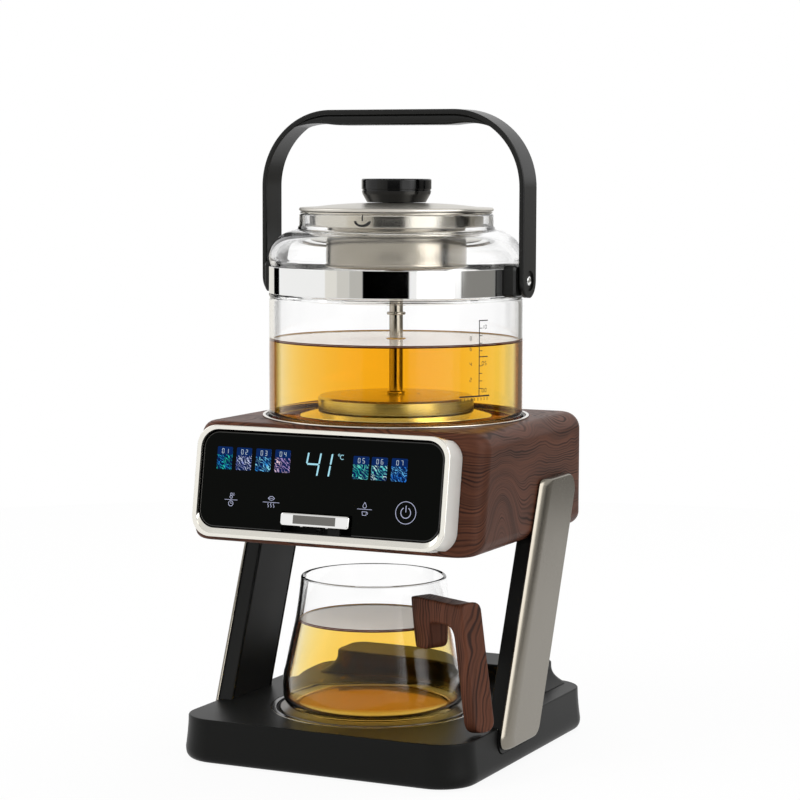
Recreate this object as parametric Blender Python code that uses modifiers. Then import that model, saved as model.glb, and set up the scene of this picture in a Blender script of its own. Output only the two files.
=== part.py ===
"""Automatic tea maker: a glass pot on a heated head, which two slanted supports carry over a cup.

Metres, +Z up. The front with its display faces -Y. The origin is at the middle of the base, on the
surface that the feet stand on.
"""
import bmesh
import bpy
import math
from mathutils import Matrix, Vector

OBJECT_NAME = "tea_maker"

# Fits and small shared sizes
GAP = 0.0003            # clearance between neighbours
CUT_OVERRUN = 0.002     # how far a cutter reaches past what it cuts
MERGE = 0.00001         # merge distance of turned shapes
FINE_EDGE = 0.0006      # smallest edge rounding
FULL_TURN = math.tau

# Segment counts
ROUND_LARGE = 36
ROUND_MEDIUM = 24
ROUND_SMALL = 12
CORNER_STEPS = 4
ARC_STEPS = 4

# Base
BASE_HALF_WIDTH = 0.0913
BASE_HALF_DEPTH = 0.0984
BASE_TOP = 0.0265
BASE_CORNER = 0.0222
BASE_FLARE = 0.0017
BASE_SKIRT_Z = 0.009
BASE_TUCK = 0.0045
BASE_UNDERSIDE = 0.0015
BASE_WALL = 0.0026
BASE_EDGE = 0.0008
BOTTOM_COVER_THICK = 0.002
FOOT_RADIUS = 0.0075
FOOT_INSET = 0.020
SCREW_RADIUS = 0.0016
SCREW_HEAD_RADIUS = 0.003
SCREW_HEAD_HEIGHT = 0.0012
SCREW_LENGTH = 0.009
SCREW_INSET = 0.036
BOSS_RADIUS = 0.0042

# Cup rest and cup
CUP_Y = -0.0205
REST_RING_OUTER = 0.061
REST_RING_INNER = 0.058
REST_PLATE_RADIUS = 0.056
REST_FLANGE = 0.003
REST_LEDGE = 0.004
REST_RING_THICK = 0.0015
WARMER_RADIUS = 0.040
WARMER_THICK = 0.0035
CUP_RIM_Z = 0.1055
CUP_RIM_RADIUS = 0.0431
CUP_BELLY_Z = 0.040
CUP_BELLY_RADIUS = 0.054
CUP_SHOULDER_SHARES = ((0.864, 0.083), (0.618, 0.294), (0.403, 0.569), (0.191, 0.835))
CUP_WALL = 0.002
CUP_FLOOR_THICK = 0.003
CUP_HEEL_RADIUS = 0.011
CUP_HEEL_WIDTH_SHARE = 0.9
CUP_HEEL_STEPS = 6
CUP_FLOOR_CROWN = 0.001
HANDLE_TURN = math.radians(-26.5)
HANDLE_HALF_WIDTH = 0.00775
HANDLE_TILT = math.radians(10.8)
HANDLE_TOP_Z = 0.1015
HANDLE_TIP_Z = 0.0290
HANDLE_BAR_THICK = 0.010
HANDLE_REACH = 0.0903
HANDLE_BAR_CORNER = 0.0060
HANDLE_EDGE = 0.0012
HANDLE_ARM_TOP_Z = 0.0995
HANDLE_ARM_THICK = 0.0125
HANDLE_FILLET = 0.006
HANDLE_PEG_DROP = 0.017
HANDLE_PEG_DEPTH = 0.0125
HANDLE_ROUND_SHARE = 0.3

# Rear hump on the base
HUMP_FOOT_HALF_WIDTH = 0.079
HUMP_TOP_HALF_WIDTH = 0.070
HUMP_FRONT_Y = 0.052
HUMP_REAR_Y = 0.0965
HUMP_TOP_Z = 0.0400
HUMP_CORNER = 0.010
HUMP_FLARE_SHARES = ((0.0, 1.0), (0.12, 0.60), (0.35, 0.28), (0.65, 0.10), (0.90, 0.02), (1.0, -0.14))
HUMP_WALL = 0.002

# Supports
LEG_INNER_X = 0.0839
LEG_SPLIT_X = 0.0926
COVER_INNER_X = 0.0929
COVER_OUTER_X = 0.0972
LEG_LEAN = 0.40
LEG_FRONT_Y = -0.0444
LEG_DEPTH = 0.0521
LEG_TOP_Z = 0.164
LEG_BOTTOM_Z = 0.0135
LEG_FRONT_CORNER = 0.0065
LEG_REAR_CORNER = 0.010
LEG_SOFT_EDGE = 0.010
LEG_THIN_EDGE = 0.0012
POST_RIM = 0.0022
POST_EDGE = 0.001

# Head
HEAD_HALF_WIDTH = 0.0926
HEAD_BOTTOM = 0.1315
HEAD_TOP = 0.198
HEAD_REAR_Y = 0.0885
HEAD_REAR_CORNER = 0.016
HEAD_FRONT_CORNER = 0.0123
HEAD_CORNER_HOLD_SHARE = 0.5
HEAD_TOP_EDGE = 0.010
HEAD_BOTTOM_EDGE = 0.008
HEAD_FRONT_EDGE = 0.0025
HEAD_WALL = 0.004
HEAD_COVER_THICK = 0.0025
HEAD_FLOOR_RIM = 0.012

# Front panel, drawn flat and then leaned back
PANEL_Y = -0.093085
PANEL_Z = 0.165005
PANEL_LEAN = math.radians(9.33)
BEZEL_HALF_WIDTH = 0.0803
BEZEL_HALF_HEIGHT = 0.03106
BEZEL_CORNER = 0.012
BEZEL_DEPTH = 0.0139
BEZEL_EDGE = 0.001
GLASS_HALF_WIDTH = 0.077
GLASS_TOP_LIP = 0.0015
GLASS_BOTTOM_LIP = 0.0026
GLASS_SET_BACK = 0.0008
GLASS_THICK = 0.004
GLASS_EDGE = 0.0012
WINDOW_MARGIN = 0.006
BOARD_THICK = 0.0016
CONTROL_BOARD_WIDTH = 0.090
CONTROL_BOARD_DEPTH = 0.045
CONTROL_BOARD_Y = 0.045

# Dispensing lever
LEVER_HALF_WIDTH = 0.0217
LEVER_HEIGHT = 0.0072
LEVER_DROP = 0.0192
LEVER_REACH = 0.0066
LEVER_PAD_DEPTH = 0.0060
LEVER_POCKET_SIDE = 0.0007
LEVER_POCKET_ABOVE = 0.0006
LEVER_ARM_HALF_WIDTH = 0.014
LEVER_ARM_THICK = 0.003
LEVER_PIN_DEPTH = 0.0105
LEVER_PIN_RADIUS = 0.0013
LEVER_HUB_RADIUS = 0.0029
LEVER_EAR_THICK = 0.0028
LEVER_EAR_SHARE = 1.25
LEVER_SPRING_RADIUS = 0.0021
LEVER_SPRING_WIRE = 0.0004
LEVER_SPRING_TURNS = 4
LEVER_SPRING_DEPTH = 0.0062
SPRING_POINTS_PER_TURN = 8
SWITCH_WIDTH = 0.0075
SWITCH_DEPTH = 0.0055
SWITCH_TRAVEL_ROOM = 0.0014

# Pot
POT_RADIUS = 0.075
POT_WALL = 0.0025
POT_SINK = 0.0034
POT_FLOOR_Z = HEAD_TOP - POT_SINK
POT_HEEL_RADIUS = 0.005
POT_SHOULDER_Z = 0.292
POT_SHOULDER_BULGE = 0.0012
POT_SHOULDER_RADIUS = POT_RADIUS + POT_SHOULDER_BULGE
POT_NECK_RADIUS = 0.058
POT_NECK_Z = 0.3095
POT_LIP_Z = 0.319
POT_BEAD = 0.0009
SHOULDER_ANGLES = (78, 0)
SHOULDER_STEPS = 6
HEEL_STEPS = 2
BAND_BOTTOM_Z = 0.2717
BAND_TOP_Z = 0.2879
BAND_THICK = 0.0008
FLOOR_PLATE_OUTER = 0.0581
FLOOR_PLATE_CLEARANCE = 0.0002
FLOOR_PLATE_THICK = 0.0012
DRAIN_VALVE_RADIUS = 0.0062
DRAIN_VALVE_STEM = 0.004
DRAIN_VALVE_HEIGHT = 0.0018

# Pot seat and works under it
POT_Y = 0.0095
SEAT_CLEARANCE = 0.0015
SEAT_INNER = POT_RADIUS + SEAT_CLEARANCE
SEAT_RIM = 0.0035
SEAT_OUTER = SEAT_INNER + SEAT_RIM
SEAT_SLEEVE = 0.0013
SEAT_FLANGE_THICK = 0.0007
SEAT_DEPTH = 0.0095
SEAT_LEDGE = 0.007
SEAT_LEDGE_THICK = 0.002
HEATER_THICK = 0.005
PROBE_RADIUS = 0.006
PROBE_HEIGHT = 0.011
DRAIN_Y = -0.0205
DRAIN_TUBE_RADIUS = 0.0045
DRAIN_TUBE_WALL = 0.0015
VALVE_HALF_WIDTH = 0.013
VALVE_HALF_DEPTH = 0.010
VALVE_HEIGHT = 0.016
COIL_RADIUS = 0.0077
COIL_LENGTH = 0.016
NOZZLE_RADIUS = 0.0075
NOZZLE_TIP_RADIUS = 0.0050
NOZZLE_BORE = 0.0025
NOZZLE_TIP_Z = 0.1272
NOZZLE_FLANGE = 0.003

# Lugs, bail and pins
BAIL_Y = 0.010
BAIL_PIVOT_Z = 0.2805
BAIL_THICK = 0.0035
BAIL_STRAP = 0.020
BAIL_TOP_Z = 0.3807
BAIL_CORNER = 0.046
BAIL_ARC_STEPS = 12
BAIL_END_STEPS = 5
BAIL_END_ANGLE = math.radians(80)
LUG_HALF_LENGTH = 0.0135
LUG_REACH = 0.0076
LUG_OUTER_X = POT_RADIUS + LUG_REACH
BAIL_HALF_WIDTH = LUG_OUTER_X + GAP + BAIL_THICK
LUG_HALF_HEIGHT = 0.0094
LUG_CORNER = 0.004
SADDLE_HALF_LENGTH = 0.0245
SADDLE_THICK = 0.0012
PIN_RADIUS = 0.0027
PIN_HEAD_RADIUS = 0.0045
PIN_RECESS_RADIUS = 0.006
PIN_RECESS_DEPTH = 0.0012
GRIP_HALF_LENGTH = 0.046
GRIP_THICK = 0.0062
GRIP_SIDE = 0.0012
GRIP_CORNER = 0.003

# Brewer
DOME_RADIUS = 0.0468
FLOOR_PLATE_INNER = DOME_RADIUS + FLOOR_PLATE_CLEARANCE
DOME_FOOT_RISE = 0.0069
DOME_FOOT_Z = POT_FLOOR_Z + DOME_FOOT_RISE
DOME_SIDE = 0.0055
DOME_EDGE_Z = DOME_FOOT_Z + DOME_SIDE
DOME_CROWN = 0.004
DOME_MIDDLE_SHARE = 0.8
DOME_WALL = 0.0012
DOME_EDGE = 0.0012
SLOT_RADIUS_SHARE = 0.29
SLOT_LENGTH = 0.0072
SLOT_WIDTH = 0.0014
SLOT_TURN = math.radians(-92.0)
SLOT_COUNT = 3
RISER_RADIUS = 0.0041
RISER_WALL = 0.0009
RISER_COLLAR_RADIUS = 0.0055
RISER_COLLAR_HEIGHT = 0.0014
RISER_TOP_Z = 0.306
LOCK_RING_Z = 0.2588
LOCK_RING_RADIUS = 0.0056
LOCK_RING_HEIGHT = 0.0017
SPRAY_CAP_RADIUS = 0.009
SPRAY_CAP_HEIGHT = 0.005
BASKET_BOTTOM_Z = 0.286
BASKET_TOP_Z = 0.3096
BASKET_WALL = 0.0009
BASKET_ROLL = 0.0008
BASKET_ROLL_HEIGHT = 0.005
STRAINER_CLEARANCE = 0.0035
STRAINER_RADIUS = POT_NECK_RADIUS - POT_WALL - STRAINER_CLEARANCE
STRAINER_SHELF = 0.0099
BASKET_RADIUS = STRAINER_RADIUS - STRAINER_SHELF
STRAINER_LEDGE_Z = 0.310
STRAINER_WALL = 0.0009
STRAINER_SEAT_INSET = 0.0005
STRAINER_SEAT_RADIUS = POT_NECK_RADIUS - STRAINER_SEAT_INSET
STRAINER_SEAT_THICK = 0.0007

# Lid
LID_OVERHANG = 0.0001
LID_RADIUS = POT_NECK_RADIUS + LID_OVERHANG
LID_EDGE_Z = 0.3215
LID_CROWN = 0.0038
LID_MIDDLE_SHARE = 0.78
LID_THICK = 0.0014
LID_GASKET_DEPTH = 0.0022
LID_GASKET_WIDTH = 0.0022
KNOB_RADIUS = 0.0209
KNOB_WAIST_RADIUS = 0.0179
KNOB_TOP_Z = 0.3396
KNOB_EDGE_DROP = 0.0062
KNOB_EDGE = 0.0012
KNOB_STUD_RADIUS = 0.004

# Power parts in the base
INLET_HALF_WIDTH = 0.0140
INLET_HALF_HEIGHT = 0.0095
INLET_WALL = 0.0018
INLET_LENGTH = 0.018
INLET_Z = 0.0140
INLET_BLADE = 0.0022
INLET_BLADE_LENGTH = 0.011
INLET_BLADE_PITCH = 0.0070
INLET_PROUD = 0.0049
POWER_BOARD_DEPTH = 0.036
POWER_BOARD_CLEAR = 0.0011

# Colours: name, base colour, roughness, metallic
COLOURS = {
    "black_plastic": ((0.012, 0.012, 0.013), 0.45, 0.0),
    "champagne": ((0.72, 0.66, 0.57), 0.32, 1.0),
    "walnut": ((0.11, 0.035, 0.017), 0.45, 0.0),
    "steel": ((0.62, 0.60, 0.56), 0.25, 1.0),
    "chrome": ((0.80, 0.80, 0.80), 0.08, 1.0),
    "clear_glass": ((0.95, 0.97, 0.97), 0.02, 0.0),
    "display_black": ((0.004, 0.004, 0.006), 0.06, 0.0),
    "rubber": ((0.02, 0.02, 0.02), 0.8, 0.0),
    "board_green": ((0.02, 0.10, 0.05), 0.5, 0.0),
    "heater_aluminium": ((0.55, 0.55, 0.56), 0.5, 1.0),
}

for old in list(bpy.data.objects):
    bpy.data.objects.remove(old)


def collection(name):
    group = bpy.data.collections.new(name)
    bpy.context.scene.collection.children.link(group)
    return group


PARTS = collection(OBJECT_NAME)
CUTTERS = collection("cutters")


def material(name):
    made = bpy.data.materials.get(name)
    if made:
        return made
    colour, roughness, metallic = COLOURS[name]
    made = bpy.data.materials.new(name)
    made.use_nodes = True
    shader = made.node_tree.nodes["Principled BSDF"]
    shader.inputs["Base Color"].default_value = (*colour, 1.0)
    shader.inputs["Roughness"].default_value = roughness
    shader.inputs["Metallic"].default_value = metallic
    return made


def put(obj, finish, group=None):
    """Give an object its material and its place in the collections."""
    for holder in list(obj.users_collection):
        holder.objects.unlink(obj)
    (group or PARTS).objects.link(obj)
    if finish:
        obj.data.materials.append(material(finish))
    return obj


def from_bmesh(name, bm, finish=None, group=None):
    mesh = bpy.data.meshes.new(name)
    bm.normal_update()
    bm.to_mesh(mesh)
    bm.free()
    mesh.shade_smooth()
    mesh.set_sharp_from_angle(angle=math.radians(35))
    return put(bpy.data.objects.new(name, mesh), finish, group)


def empty(name, place, parent=None):
    pivot = bpy.data.objects.new(name, None)
    pivot.location = place
    pivot.parent = parent
    PARTS.objects.link(pivot)
    return pivot


def under(parent, *children):
    """Parent pieces to an empty and keep them where they are in the world."""
    bpy.context.view_layer.update()
    for child in children:
        child.parent = parent
        child.matrix_parent_inverse = parent.matrix_world.inverted()


def on_panel(*children):
    """Parent pieces that are drawn flat to the leaning front panel."""
    for child in children:
        child.parent = PANEL


def block(name, low, high, finish=None, bevel=0.0, group=None):
    """A box between two corners, its edges rounded if bevel is set."""
    low, high = Vector(low), Vector(high)
    bm = bmesh.new()
    size = Matrix.Diagonal((*(high - low), 1.0))
    bmesh.ops.create_cube(bm, size=1.0, matrix=Matrix.Translation((low + high) / 2) @ size)
    obj = from_bmesh(name, bm, finish, group)
    if bevel:
        round_edges(obj, bevel)
    return obj


def rod(name, radius, start, end, finish=None, sides=ROUND_SMALL, group=None):
    """A cylinder from one point to another."""
    start, end = Vector(start), Vector(end)
    turn = (end - start).to_track_quat("Z", "Y").to_matrix().to_4x4()
    bm = bmesh.new()
    place = Matrix.Translation((start + end) / 2) @ turn
    bmesh.ops.create_cone(bm, cap_ends=True, segments=sides, radius1=radius, radius2=radius,
                          depth=(end - start).length, matrix=place)
    return from_bmesh(name, bm, finish, group)


def round_edges(obj, width, segments=2, angle=50):
    bevel = obj.modifiers.new("edges", "BEVEL")
    bevel.width = width
    bevel.segments = segments
    bevel.limit_method = "ANGLE"
    bevel.angle_limit = math.radians(angle)
    return obj


def turned(name, profile, finish=None, centre=(0, 0, 0), steps=ROUND_LARGE, group=None):
    """Turn a profile of radius and height about Z. It runs down the outer side, top to bottom."""
    bm = bmesh.new()
    points = [bm.verts.new((radius, 0, height)) for radius, height in profile]
    for first, second in zip(points, points[1:]):
        bm.edges.new((first, second))
    if profile[0][0] > MERGE:
        bm.edges.new((points[-1], points[0]))
    obj = from_bmesh(name, bm, finish, group)
    obj.location = centre
    screw = obj.modifiers.new("turn", "SCREW")
    screw.axis = "Z"
    screw.angle = FULL_TURN
    screw.screw_offset = 0
    screw.steps = steps
    screw.render_steps = steps
    screw.use_merge_vertices = True
    screw.merge_threshold = MERGE
    screw.use_smooth_shade = True
    return obj


def tube_profile(inner, outer, top, bottom):
    return [(outer, top), (outer, bottom), (inner, bottom), (inner, top)]


def disc_profile(radius, top, bottom, edge=0.0):
    rim = [(radius - edge, top), (radius, top - edge)] if edge else [(radius, top)]
    return [(0, top), *rim, (radius, bottom), (0, bottom)]


def arc(centre, radii, start, end, steps=ARC_STEPS):
    """Points on an elliptical arc; the angles are in degrees."""
    points = []
    for index in range(steps + 1):
        angle = math.radians(start + (end - start) * index / steps)
        points.append((centre[0] + radii[0] * math.cos(angle), centre[1] + radii[1] * math.sin(angle)))
    return points


def rounded_rectangle(half_width, half_height, corners, steps=CORNER_STEPS):
    """Outline points, counter-clockwise from the lower right; corners is one radius or four."""
    radii = corners if isinstance(corners, tuple) else (corners,) * 4
    signs = ((1, -1, -90), (1, 1, 0), (-1, 1, 90), (-1, -1, 180))
    points = []
    for (sign_x, sign_y, start), radius in zip(signs, radii):
        centre = (sign_x * (half_width - radius), sign_y * (half_height - radius))
        points += arc(centre, (radius, radius), start, start + 90, steps)
    return points


def loft(name, rings, finish=None, group=None, closed=False):
    """Skin rings of equal point counts; the ends are capped, or joined to each other if closed."""
    bm = bmesh.new()
    rows = [[bm.verts.new(point) for point in ring] for ring in rings]
    count = len(rows[0])
    pairs = list(zip(rows, rows[1:]))
    if closed:
        pairs.append((rows[-1], rows[0]))
    for lower, upper in pairs:
        for index in range(count):
            after = (index + 1) % count
            bm.faces.new((lower[index], lower[after], upper[after], upper[index]))
    if not closed:
        bm.faces.new(list(reversed(rows[0])))
        bm.faces.new(rows[-1])
    bmesh.ops.recalc_face_normals(bm, faces=bm.faces)
    return from_bmesh(name, bm, finish, group)


def prism(name, outline, low, high, finish=None, group=None):
    """A flat outline in X and Y, raised from one height to another."""
    rings = [[(x, y, height) for x, y in outline] for height in (low, high)]
    return loft(name, rings, finish, group)


def join(obj, tool, operation):
    step = obj.modifiers.new(tool.name, "BOOLEAN")
    step.operation = operation
    step.object = tool
    tool.hide_render = True
    tool.display_type = "WIRE"
    return obj


def cut(obj, *tools):
    for tool in tools:
        join(obj, tool, "DIFFERENCE")
    return obj


def add(obj, *tools):
    for tool in tools:
        join(obj, tool, "UNION")
    return obj


def mirrored(points):
    return [(-x, y, z) for x, y, z in points]


# Base


def base_section(half_width, half_depth, corner, height):
    return [(x, y, height) for x, y in rounded_rectangle(half_width, half_depth, corner)]


def base_ring(grow, height):
    return base_section(BASE_HALF_WIDTH + grow, BASE_HALF_DEPTH + grow, BASE_CORNER + grow, height)


def leg_outline(front_grow=0.0, rear_grow=0.0, top=LEG_TOP_Z, bottom=LEG_BOTTOM_Z, rear_round=LEG_REAR_CORNER,
                front_round=LEG_FRONT_CORNER):
    """The slanted side outline of a support, as Y and Z points with round corners."""
    def front(z):
        return LEG_FRONT_Y + LEG_LEAN * (z - BASE_TOP) - front_grow

    def rear(z):
        return LEG_FRONT_Y + LEG_DEPTH + LEG_LEAN * (z - BASE_TOP) + rear_grow

    corners = [(front(bottom), bottom, front_round), (rear(bottom), bottom, rear_round),
               (rear(top), top, rear_round), (front(top), top, front_round)]
    points = []
    for index, (y, z, radius) in enumerate(corners):
        here = Vector((y, z))
        before = (Vector(corners[index - 1][:2]) - here).normalized()
        after = (Vector(corners[(index + 1) % 4][:2]) - here).normalized()
        half_angle = before.angle(after) / 2
        reach = radius / math.tan(half_angle)
        middle = here + (before + after).normalized() * radius / math.sin(half_angle)
        begin = here + before * reach - middle
        finish_at = here + after * reach - middle
        sweep = begin.angle_signed(finish_at)
        for step in range(CORNER_STEPS + 1):
            turn = Matrix.Rotation(-sweep * step / CORNER_STEPS, 2)
            points.append(tuple(middle + turn @ begin))
    return points


def leg_slab(name, levels, side, finish=None, group=None):
    """Skin side outlines at several X places; side is 1 on the right and -1 on the left."""
    rings = [[(side * x, y, z) for y, z in outline] for x, outline in levels]
    return loft(name, rings, finish, group)


def post_outline(grow=0.0):
    return leg_outline(POST_RIM / 2 + grow, grow, top=HEAD_BOTTOM + HEAD_BOTTOM_EDGE * 2,
                       bottom=LEG_BOTTOM_Z - POST_RIM - grow, rear_round=LEG_REAR_CORNER,
                       front_round=LEG_FRONT_CORNER)


def make_base():
    inner_ceiling = BASE_TOP - BASE_WALL
    rings = [base_ring(-BASE_WALL, inner_ceiling),
             base_ring(BASE_FLARE - BASE_WALL, BASE_SKIRT_Z),
             base_ring(BASE_FLARE - BASE_TUCK - BASE_WALL, BASE_UNDERSIDE),
             base_ring(BASE_FLARE - BASE_TUCK, BASE_UNDERSIDE),
             base_ring(BASE_FLARE, BASE_SKIRT_Z),
             base_ring(0, BASE_TOP - BASE_EDGE),
             base_ring(-BASE_EDGE, BASE_TOP)]
    shell = loft("base_shell", rings, "black_plastic")
    cover_bottom = BASE_UNDERSIDE + GAP
    cover_top = cover_bottom + BOTTOM_COVER_THICK
    screw_places = [(sx * (BASE_HALF_WIDTH - SCREW_INSET), sy * (BASE_HALF_DEPTH - SCREW_INSET / 2))
                    for sx in (-1, 1) for sy in (-1, 1)]
    for index, (x, y) in enumerate(screw_places):
        add(shell, rod(f"boss_{index}", BOSS_RADIUS, (x, y, cover_top + GAP),
                       (x, y, inner_ceiling + BASE_WALL / 2), group=CUTTERS))
    for index, (x, y) in enumerate(screw_places):
        cut(shell, rod(f"boss_bore_{index}", SCREW_RADIUS + GAP, (x, y, cover_top - CUT_OVERRUN),
                       (x, y, cover_bottom + SCREW_HEAD_HEIGHT + SCREW_LENGTH + GAP), group=CUTTERS))
    hole = REST_RING_OUTER + GAP
    cut(shell, rod("rest_hole", hole, (0, CUP_Y, inner_ceiling - CUT_OVERRUN),
                   (0, CUP_Y, BASE_TOP + CUT_OVERRUN), sides=ROUND_LARGE, group=CUTTERS))
    for side, word in ((-1, "left"), (1, "right")):
        levels = [(x, post_outline(GAP)) for x in (LEG_INNER_X - GAP, COVER_OUTER_X + CUT_OVERRUN)]
        cut(shell, leg_slab(f"{word}_post_notch", levels, side, group=CUTTERS))
    inlet_low = (-INLET_HALF_WIDTH - GAP, BASE_HALF_DEPTH - INLET_LENGTH - GAP,
                 INLET_Z - INLET_HALF_HEIGHT - GAP)
    inlet_high = (INLET_HALF_WIDTH + GAP, BASE_HALF_DEPTH + BASE_FLARE + CUT_OVERRUN,
                  INLET_Z + INLET_HALF_HEIGHT + GAP)
    cut(shell, block("inlet_hole", inlet_low, inlet_high, group=CUTTERS))

    grow = BASE_FLARE - BASE_TUCK - BASE_WALL - GAP
    cover = prism("base_bottom_cover",
                  rounded_rectangle(BASE_HALF_WIDTH + grow, BASE_HALF_DEPTH + grow, BASE_CORNER + grow),
                  cover_bottom, cover_top, "black_plastic")
    foot_places = [(sx * (BASE_HALF_WIDTH - FOOT_INSET), sy * (BASE_HALF_DEPTH - FOOT_INSET))
                   for sx in (-1, 1) for sy in (-1, 1)]
    for index, (x, y) in enumerate(screw_places):
        tool = rod(f"cover_screw_hole_{index}", SCREW_RADIUS + GAP, (x, y, cover_bottom - CUT_OVERRUN),
                   (x, y, cover_top + CUT_OVERRUN), group=CUTTERS)
        sink = rod(f"cover_screw_sink_{index}", SCREW_HEAD_RADIUS + GAP,
                   (x, y, cover_bottom - CUT_OVERRUN), (x, y, cover_bottom + SCREW_HEAD_HEIGHT),
                   group=CUTTERS)
        cut(cover, tool, sink)
    words = ("front_left", "rear_left", "front_right", "rear_right")
    for word, (x, y) in zip(words, foot_places):
        profile = disc_profile(FOOT_RADIUS, cover_bottom - GAP, 0)
        turned(f"foot_{word}", profile, "rubber", (x, y, 0), ROUND_SMALL)
    for word, (x, y) in zip(words, screw_places):
        head_top = cover_bottom + SCREW_HEAD_HEIGHT - GAP
        profile = [(0, head_top + SCREW_LENGTH), (SCREW_RADIUS, head_top + SCREW_LENGTH),
                   (SCREW_RADIUS, head_top), (SCREW_HEAD_RADIUS, head_top),
                   (SCREW_HEAD_RADIUS, cover_bottom), (0, cover_bottom)]
        turned(f"base_screw_{word}", profile, "steel", (x, y, 0), ROUND_SMALL)


def make_cup_rest():
    ceiling = BASE_TOP - BASE_WALL
    flange_top = ceiling - GAP
    flange_bottom = flange_top - REST_RING_THICK
    ledge_inner = REST_RING_INNER - REST_LEDGE
    centre = (0, CUP_Y, 0)
    turned("cup_rest_ring", [(REST_RING_INNER, BASE_TOP), (REST_RING_OUTER, BASE_TOP),
                             (REST_RING_OUTER, flange_top), (REST_RING_OUTER + REST_FLANGE, flange_top),
                             (REST_RING_OUTER + REST_FLANGE, flange_bottom), (ledge_inner, flange_bottom),
                             (ledge_inner, flange_top), (REST_RING_INNER, flange_top)],
           "steel", centre)
    seat = flange_top + GAP
    turned("cup_rest_gasket", tube_profile(REST_PLATE_RADIUS + GAP, REST_RING_INNER - GAP,
                                           BASE_TOP - FINE_EDGE, seat), "rubber", centre)
    turned("cup_rest_plate", disc_profile(REST_PLATE_RADIUS, BASE_TOP, seat, FINE_EDGE / 2),
           "champagne", centre)
    turned("warming_heater", disc_profile(WARMER_RADIUS, seat - GAP, seat - GAP - WARMER_THICK),
           "heater_aluminium", centre, ROUND_MEDIUM)


def make_hump():
    def section(share_out, height, inset=0.0):
        half = HUMP_TOP_HALF_WIDTH + (HUMP_FOOT_HALF_WIDTH - HUMP_TOP_HALF_WIDTH) * share_out - inset
        spread = (HUMP_FOOT_HALF_WIDTH - HUMP_TOP_HALF_WIDTH) * share_out
        front = HUMP_FRONT_Y + (HUMP_FOOT_HALF_WIDTH - HUMP_TOP_HALF_WIDTH) - spread + inset
        rear = HUMP_REAR_Y - inset
        middle = (front + rear) / 2
        corner = max(HUMP_CORNER - inset, HUMP_WALL)
        return [(x, y + middle, height) for x, y in rounded_rectangle(half, (rear - front) / 2, corner)]

    foot = BASE_TOP + GAP
    rise = HUMP_TOP_Z - foot
    outer = [section(out, foot + rise * up) for up, out in HUMP_FLARE_SHARES]
    inner = [section(0, foot, HUMP_WALL * 2), section(0, HUMP_TOP_Z - HUMP_WALL, HUMP_WALL * 2)]
    loft("rear_hump", list(reversed(inner)) + outer, "black_plastic")


def make_legs():
    for side, word in ((-1, "left"), (1, "right")):
        outline = post_outline()
        rounded = leg_outline(POST_RIM / 2 - POST_EDGE, -POST_EDGE, top=HEAD_BOTTOM + HEAD_BOTTOM_EDGE * 2,
                              bottom=LEG_BOTTOM_Z - POST_RIM + POST_EDGE)
        levels = [(LEG_INNER_X, rounded), (LEG_INNER_X + POST_EDGE, outline), (LEG_SPLIT_X, outline)]
        post = leg_slab(f"{word}_leg_post", levels, side, "black_plastic")
        cut(post, head_form(f"{word}_post_seat", GAP, CUTTERS))
        full = leg_outline()
        middle = leg_outline(-LEG_SOFT_EDGE / 3, -LEG_THIN_EDGE / 3, LEG_TOP_Z - LEG_THIN_EDGE / 3,
                             LEG_BOTTOM_Z + LEG_THIN_EDGE / 3)
        face = leg_outline(-LEG_SOFT_EDGE, -LEG_THIN_EDGE, LEG_TOP_Z - LEG_THIN_EDGE,
                           LEG_BOTTOM_Z + LEG_THIN_EDGE)
        thick = COVER_OUTER_X - COVER_INNER_X
        levels = [(COVER_INNER_X, full), (COVER_OUTER_X - thick / 2, full),
                  (COVER_OUTER_X - thick / 5, middle), (COVER_OUTER_X, face)]
        leg_slab(f"{word}_leg_cover", levels, side, "champagne")


# Head


def head_front(z):
    """Y of the wood's front plane, parallel to the panel."""
    clear = (BEZEL_DEPTH + GAP) / math.cos(PANEL_LEAN)
    return PANEL_Y + clear - (PANEL_Z - z) * math.tan(PANEL_LEAN)


def edge_inset(z, low, high, low_radius, high_radius):
    """How far round top and bottom edges draw a wall in at a height."""
    if z > high - high_radius:
        return high_radius - math.sqrt(max(high_radius ** 2 - (z - high + high_radius) ** 2, 0))
    if z < low + low_radius:
        return low_radius - math.sqrt(max(low_radius ** 2 - (low + low_radius - z) ** 2, 0))
    return 0.0


def head_section(z, low, high, grow):
    """The head's outline at a height: a leaning front, and corners that stay round towards the top."""
    side = edge_inset(z, low, high, HEAD_BOTTOM_EDGE, HEAD_TOP_EDGE) - grow
    front = head_front(z) + edge_inset(z, low, high, HEAD_FRONT_EDGE, HEAD_FRONT_EDGE) - grow
    rear = HEAD_REAR_Y - side
    front_corner = HEAD_FRONT_CORNER - side * HEAD_CORNER_HOLD_SHARE
    rear_corner = HEAD_REAR_CORNER - side
    outline = rounded_rectangle(HEAD_HALF_WIDTH - side, (rear - front) / 2,
                                (front_corner, rear_corner, rear_corner, front_corner))
    return [(x, y + (front + rear) / 2, z) for x, y in outline]


def head_form(name, grow=0.0, group=None, finish=None):
    """The head's outer form with rounded edges; grow makes it larger all round."""
    low, high = HEAD_BOTTOM - grow, HEAD_TOP + grow
    heights = [low + HEAD_BOTTOM_EDGE * (1 - math.cos(math.radians(90) * step / CORNER_STEPS))
               for step in range(CORNER_STEPS + 1)]
    heights += [high - HEAD_TOP_EDGE * (1 - math.sin(math.radians(90) * step / CORNER_STEPS))
                for step in range(CORNER_STEPS + 1)]
    return loft(name, [head_section(z, low, high, grow) for z in heights], finish, group)


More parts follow.
